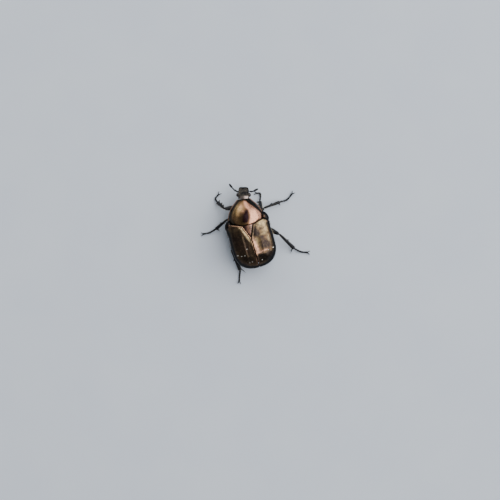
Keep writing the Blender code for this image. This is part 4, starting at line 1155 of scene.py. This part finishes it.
feeler = {  # root, elbow, end of the stalk and tip of the club
    "Left": ((10.42, -0.16, 2.98), (10.98, -0.72, 3.08), (11.50, -0.97, 2.98), (12.58, -1.42, 2.80)),
    "Right": ((9.70, 2.56, 2.95), (9.50, 2.98, 3.05), (9.56, 3.38, 2.98), (9.74, 4.49, 2.80)),
}
scape = {"width": 0.44, "taper": (0.75, 1.15), "sunk": 0.35, "middle": 0.4, "rounded": 0.15, "mesh": (16, 14)}
bead = {"width": 0.33, "count": 5, "overlap": 1.12, "flare": (0.82, 1.12), "rounded": 0.3, "mesh": (12, 8)}
leaf = {"width": 0.48, "depth": 0.19, "arc": (0.14, 0.90), "blunt": 0.6, "gap": 0.07, "bow": 0.10,
        "fan": 11, "rounded": 0.22, "mesh": (18, 16)}


def leafSize(share):
    return leaf["width"] * math.sin(math.pi * blend(*leaf["arc"], share)) ** leaf["blunt"], leaf["depth"]


def makeFeeler(hand):
    root, elbow, joint, tip = [at(*place) for place in feeler[hand]]
    form = bmesh.new()
    addLimb(form, [root.lerp(elbow, -scape["sunk"]), root.lerp(elbow, scape["middle"]), elbow],
            lambda share: (scape["width"] * blend(*scape["taper"], share ** 2),) * 2,
            *scape["mesh"], scape["rounded"])
    for k in range(bead["count"]):  # beads of the stalk
        start = elbow.lerp(joint, k / bead["count"])
        end = elbow.lerp(joint, (k + bead["overlap"]) / bead["count"])
        addLimb(form, [start, start.lerp(end, 0.5), end],
                lambda share: (bead["width"] * blend(*bead["flare"], share),) * 2,
                *bead["mesh"], bead["rounded"])
    ahead = (tip - joint).normalized()
    across = ahead.cross(Vector((0, 0, 1))).normalized()
    for k in (-1, 0, 1):  # three leaves of the club
        length = Matrix.Rotation(k * math.radians(leaf["fan"]), 3, across) @ (tip - joint)
        aside = across.cross(ahead) * k * mm
        base = joint + aside * leaf["gap"]
        path = smoothPath([base, base + length * 0.5 + aside * leaf["bow"], base + length], 5)
        addLimb(form, path, leafSize, *leaf["mesh"], leaf["rounded"])
    finishPiece("feeler" + hand, form, legBlack,
                ("antenna_" + hand.lower(), "club_" + hand.lower()))


makeHead()
makeEyes()
makeMouth()
for hand in hands:
    makeFeeler(hand)
print("head made")


# Legs: root under the body, hip, an optional bow, knee, ankle, tip of the long spur, arch and tip of the foot
legs = {
    "FrontLeft": {"root": (7.05, -0.85, 2.15), "hip": (7.15, -1.62, 2.10), "knee": (7.58, -3.95, 2.90),
                  "ankle": (9.40, -5.05, 0.85), "spur": (9.58, -4.45), "arch": (10.35, -5.25),
                  "tip": (11.05, -4.30)},
    "FrontRight": {"root": (6.62, 1.75, 2.13), "hip": (6.00, 2.13, 2.05), "knee": (5.32, 4.02, 2.75),
                   "ankle": (6.95, 4.05, 0.85), "spur": (7.28, 3.40), "arch": (8.60, 4.66),
                   "tip": (8.98, 3.86)},
    "MidLeft": {"root": (3.25, -1.45, 1.65), "hip": (3.85, -2.08, 1.45), "knee": (5.12, -3.98, 2.55),
                "ankle": (3.77, -7.05, 0.80), "spur": (3.03, -6.32), "arch": (3.42, -8.60),
                "tip": (3.51, -10.00)},
    "MidRight": {"root": (3.25, 1.45, 1.62), "hip": (3.85, 2.08, 1.40), "knee": (5.32, 4.55, 1.90),
                 "ankle": (5.65, 8.34, 0.80), "spur": (4.80, 8.17), "arch": (5.72, 10.03),
                 "tip": (6.70, 11.50)},
    "HindLeft": {"root": (0.75, -1.15, 1.75), "hip": (0.50, -1.30, 0.98), "bow": (-0.20, -3.40, 1.35),
                 "knee": (-1.55, -4.92, 2.45), "ankle": (-6.50, -4.34, 0.85), "spur": (-7.46, -3.22),
                 "arch": (-7.75, -4.85), "tip": (-8.90, -5.25)},
    "HindRight": {"root": (0.6, 2.0, 1.78), "hip": (0.35, 2.20, 1.00), "bow": (0.45, 4.10, 1.60),
                  "knee": (-1.25, 6.25, 2.65), "ankle": (-5.20, 8.55, 0.85), "spur": (-6.06, 7.41),
                  "arch": (-6.28, 9.78), "tip": (-6.85, 11.15)},
}
legSizes = {  # widths seen from above and depths along thigh and shin, teeth, and the foot's thickness
    "Front": {"thigh": (1.00, 0.75), "shin": (0.48, 0.92, 0.50, 0.55), "foot": 0.46,
              "teeth": ((0.90, 0.42), (0.60, 0.38), (0.34, 0.24))},
    "Mid": {"thigh": (1.05, 0.75), "shin": (0.46, 0.76, 0.48, 0.60), "foot": 0.48,
            "teeth": ((0.56, 0.24),)},
    "Hind": {"thigh": (1.35, 0.80), "shin": (0.52, 0.90, 0.50, 0.62), "foot": 0.48,
             "teeth": ((0.56, 0.27),)},
}
thigh = {"narrow": 0.50, "swell": (0.10, 1.03), "swellPower": 0.9, "shallow": 0.62, "rounded": 0.10,
         "mesh": (36, 40), "start": 0.42, "startWide": 0.62, "startDeep": 0.80, "startBend": 0.35,
         "startEnd": 0.13, "startRounded": 0.3, "startMesh": (24, 18), "hairTurns": ((-0.6, 0.5), (2.6, 3.7))}
shin = {"bow": 0.06, "bowAt": 0.4, "neck": (-0.05, 0.12, 0.08), "broadening": 1.5, "rounded": 0.045,
        "hairRounded": 0.08, "mesh": (32, 44), "hairTurns": ((-0.5, 0.6), (2.5, 3.6)),
        "toothRadius": 0.24, "toothRoot": 0.06, "toothLean": (0.85, 0.50), "toothSides": 12,
        "heel": 0.93, "heelIn": 0.22, "spurRadius": 0.13, "spurUp": 0.35, "spurSides": 10,
        "shortSpurRadius": 0.11, "shortSpurOut": 0.12, "shortSpurShare": 0.65, "shortSpurDraw": 0.25}
foot = {"joints": (0.0, 0.17, 0.34, 0.50, 0.66, 1.0), "overlap": 0.02, "flare": (0.70, 1.08, 1.6),
        "lastFlare": (0.62, 0.98, 1.0), "steps": 6, "rounded": 0.10, "mesh": (18, 14),
        "hairTurns": (0.0, 6.28), "clawSunk": 0.12}
claw = {"length": 0.80, "spread": 30, "rounded": 0.04, "mesh": (12, 16),
        "shape": ((0, 0, 0.26), (0.4, 0.14, 0.2), (0.75, 0.08, 0.14),
                  (1, -0.1, 0.05))}  # share along, lift and thickness
spine = {"bow": 0.03, "bowAt": 0.55, "point": 0.12, "sharpening": 1.3, "rings": 6, "rounded": 0.05}
legSquares = {}


def legSquare(name):  # each part of a leg has its own square on the legs' map of hairs, six to a row
    k = legSquares.setdefault(name, len(legSquares))
    return (k % 6) / 6, k // 6 / 6, 0.15


def addSpine(form, root, tip, radius, sides):  # tapered, a little bowed
    middle = root.lerp(tip, spine["bowAt"]) + Vector((0, 0, spine["bow"])) * mm
    addLimb(form, smoothPath([root, middle, tip], 4),
            lambda share: (2 * radius * blend(1, spine["point"], share ** spine["sharpening"]),) * 2,
            sides, spine["rings"], spine["rounded"])


def addClaws(form, wrist, heading):
    sizes = [(along, size) for along, lift, size in claw["shape"]]
    for side in hands.values():
        ahead = Matrix.Rotation(-side * math.radians(claw["spread"]), 3, "Z") @ heading
        points = []
        for along, lift, size in claw["shape"]:
            point = wrist + ahead * along * claw["length"] * mm
            point.z = max(point.z + lift * mm, size / 2 * mm)
            points.append(point)
        addLimb(form, smoothPath(points, 5), lambda share: (alongTable(sizes, share)[0],) * 2,
                *claw["mesh"], claw["rounded"])


def makeThigh(name, node, leg, sizes):
    root, hip, knee = at(*leg["root"]), at(*leg["hip"]), at(*leg["knee"])
    middle = at(*leg["bow"]) if "bow" in leg else hip.lerp(knee, 0.5)
    path = smoothPath([hip, middle, knee], 8)
    wide, deep = sizes["thigh"]

    def size(share):
        swell = math.sin(math.pi * min(1.0, blend(*thigh["swell"], share)) ** thigh["swellPower"])
        return (wide * blend(thigh["narrow"], 1.0, swell),
                deep * blend(thigh["shallow"], 1.0, math.sin(math.pi * share)))

    def startSize(share):
        return (blend(thigh["start"], wide * thigh["startWide"], share),
                blend(thigh["start"], deep * thigh["startDeep"], share))
    form = bmesh.new()
    addLimb(form, path, size, *thigh["mesh"], thigh["rounded"])
    for turns in thigh["hairTurns"]:
        growHairs("legs", legSquare(name), limbPlace(path, size, thigh["rounded"]), "thigh", turns)
    bend, end = hip.lerp(root, thigh["startBend"]), hip.lerp(knee, thigh["startEnd"])
    addLimb(form, smoothPath([root, bend, end], 5), startSize, *thigh["startMesh"], thigh["startRounded"])
    finishPiece(name, form, legBlack, (node,))


def makeShin(name, node, leg, sizes):
    knee, ankle = at(*leg["knee"]), at(*leg["ankle"])
    ahead = (ankle - knee).normalized()
    level = Vector((ahead.x, ahead.y, 0)).normalized()
    outward = Vector((0, 0, 1)).cross(level) * math.copysign(1, leg["knee"][1])
    narrow, broad, thin, thick = sizes["shin"]
    bow = knee.lerp(ankle, shin["bowAt"]) + Vector((0, 0, shin["bow"])) * mm
    path = smoothPath([knee, bow, ankle], 8)

    def size(share):
        return blend(narrow, broad, share ** shin["broadening"]), blend(thin, thick, share)

    def neckedSize(share):
        return size(share)[0] + hump(shin["neck"], share), size(share)[1]
    form = bmesh.new()
    addLimb(form, path, neckedSize, *shin["mesh"], shin["rounded"])
    for turns in shin["hairTurns"]:
        growHairs("legs", legSquare(name), limbPlace(path, size, shin["hairRounded"]), "shin", turns)
    leanOut, leanAhead = shin["toothLean"]
    for share, length in sizes["teeth"]:
        reach = (outward * leanOut + ahead * leanAhead).normalized() * (broad / 2 + length) * mm
        addSpine(form, pointAlong(path, share - shin["toothRoot"]), pointAlong(path, share) + reach,
                 shin["toothRadius"], shin["toothSides"])
    heel = knee.lerp(ankle, shin["heel"]) - outward * broad * shin["heelIn"] * mm
    tip = at(*leg["spur"], shin["spurUp"])
    addSpine(form, heel, tip, shin["spurRadius"], shin["spurSides"])
    shortTip = heel.lerp(tip, shin["shortSpurShare"]) - level * shin["shortSpurDraw"] * mm
    addSpine(form, heel + outward * shin["shortSpurOut"] * mm, shortTip, shin["shortSpurRadius"],
             shin["spurSides"])
    finishPiece(name, form, legBlack, (node,))


def makeFoot(name, node, leg, sizes):
    thickness = sizes["foot"]
    arch, tip = at(*leg["arch"], thickness / 2), at(*leg["tip"], thickness / 2)
    curve = smoothPath([at(*leg["ankle"]), arch, tip], 10)
    form = bmesh.new()
    for begin, end in zip(foot["joints"], foot["joints"][1:]):
        shares = [blend(begin - foot["overlap"], end, k / foot["steps"]) for k in range(foot["steps"] + 1)]
        path = [pointAlong(curve, share) for share in shares]
        narrow, broad, power = foot["lastFlare"] if end == 1 else foot["flare"]

        def size(share):
            return (thickness * blend(narrow, broad, share ** power),) * 2
        addLimb(form, path, size, *foot["mesh"], foot["rounded"])
        growHairs("legs", legSquare(name), limbPlace(path, size, foot["rounded"]), "foot",
                  foot["hairTurns"])
    heading = curve[-1] - curve[-2]
    heading.z = 0
    heading.normalize()
    addClaws(form, curve[-1] - heading * foot["clawSunk"] * mm, heading)
    for vertex in form.verts:
        vertex.co.z = max(vertex.co.z, 0.0)
    finishPiece(name, form, legBlack, (node,))


for pair, sizes in legSizes.items():
    for hand in hands:
        leg, nodeEnd = legs[pair + hand], pair.lower() + "_" + hand.lower()
        makeThigh("thigh" + pair + hand, "femur_" + nodeEnd, leg, sizes)
        makeShin("shin" + pair + hand, "tibia_" + nodeEnd, leg, sizes)
        makeFoot("foot" + pair + hand, "tarsus_" + nodeEnd, leg, sizes)
print("legs made")

makeHairs("bodyHairs", "body")
makeHairs("legHairs", "legs")
print("hairs made", {group: len(roots) for group, roots in hairRoots.items()})


# Camera, floor and light. The clip range, the floor and the soft boxes are in metres
photo = {"pixels": 500, "mmPerPixel": 0.2214, "tipPixel": (250.9, 236.6), "lens": 150.0, "sensor": 36.0,
         "sharpHeight": 3.5, "clip": (0.005, 5)}
imageRight = Vector((-0.9613, 0.2756, 0))
imageUp = Vector((-0.2756, -0.9613, 0))
floorLook = {"size": 1.2, "roughness": 0.85, "pale": (0.78, 0.86, 0.98), "paler": (0.82, 0.90, 1.0)}
studio = {"colour": (0.50, 0.54, 0.60), "strength": 0.28}
softBoxes = {  # tilt from straight above, way in the picture (degrees, 0 right, 90 up), size, radiance
    "rightSky": {"tilt": 42, "way": 20, "distance": 0.95, "size": (1.35, 1.5), "radiance": 2.35,
                 "tint": (1.0, 0.985, 0.97)},
    "frontSky": {"tilt": 57, "way": 108, "distance": 0.95, "size": (1.05, 0.6), "radiance": 1.35,
                 "tint": (1.0, 0.98, 0.94)},
}


def makeCamera():
    camera = bpy.data.objects.new("camera", bpy.data.cameras.new("camera"))
    bpy.context.scene.collection.objects.link(camera)
    camera.data.lens, camera.data.sensor_width = photo["lens"], photo["sensor"]
    centre = photo["pixels"] / 2
    right = (centre - photo["tipPixel"][0]) * photo["mmPerPixel"]
    down = (centre - photo["tipPixel"][1]) * photo["mmPerPixel"]
    target = origin + (imageRight * right - imageUp * down) * mm
    distance = photo["pixels"] * photo["mmPerPixel"] * photo["lens"] / photo["sensor"]
    camera.location = target + Vector((0, 0, distance + photo["sharpHeight"])) * mm
    turn = Matrix((imageRight, imageUp, Vector((0, 0, 1)))).transposed()
    camera.rotation_euler = turn.to_euler()
    camera.data.clip_start, camera.data.clip_end = photo["clip"]
    bpy.context.scene.camera = camera


def makeFloor():
    form = bmesh.new()
    bmesh.ops.create_grid(form, x_segments=2, y_segments=2, size=floorLook["size"])
    mesh = bpy.data.meshes.new("floor")
    form.to_mesh(mesh)
    form.free()
    material, shader, place = newMaterial("floorPale", Roughness=floorLook["roughness"])
    tint = place.noise(60, 2.0).step(0.2, 0.8).mix(colour(*floorLook["pale"]), colour(*floorLook["paler"]))
    tint.link(shader, "Base Color")
    mesh.materials.append(material)
    floor = bpy.data.objects.new("floor", mesh)
    bpy.context.scene.collection.objects.link(floor)


def makeLights():
    for name, box in softBoxes.items():
        light = bpy.data.lights.new(name, "AREA")
        light.shape, (light.size, light.size_y) = "RECTANGLE", box["size"]
        light.energy = box["radiance"] * math.pi * light.size * light.size_y
        light.color = box["tint"]
        lamp = bpy.data.objects.new(name, light)
        bpy.context.scene.collection.objects.link(lamp)
        tilt, way = math.radians(box["tilt"]), math.radians(box["way"])
        level = imageRight * math.cos(way) + imageUp * math.sin(way)
        lamp.location = (level * math.sin(tilt) + Vector((0, 0, math.cos(tilt)))) * box["distance"]
        lamp.rotation_euler = lamp.location.to_track_quat("Z", "Y").to_euler()
    world = bpy.data.worlds.new("studio")
    bpy.context.scene.world = world
    world.use_nodes = True
    backdrop = world.node_tree.nodes["Background"]
    backdrop.inputs["Color"].default_value = colour(*studio["colour"])
    backdrop.inputs["Strength"].default_value = studio["strength"]


makeCamera()
makeFloor()
makeLights()
print("camera, floor and lights made")
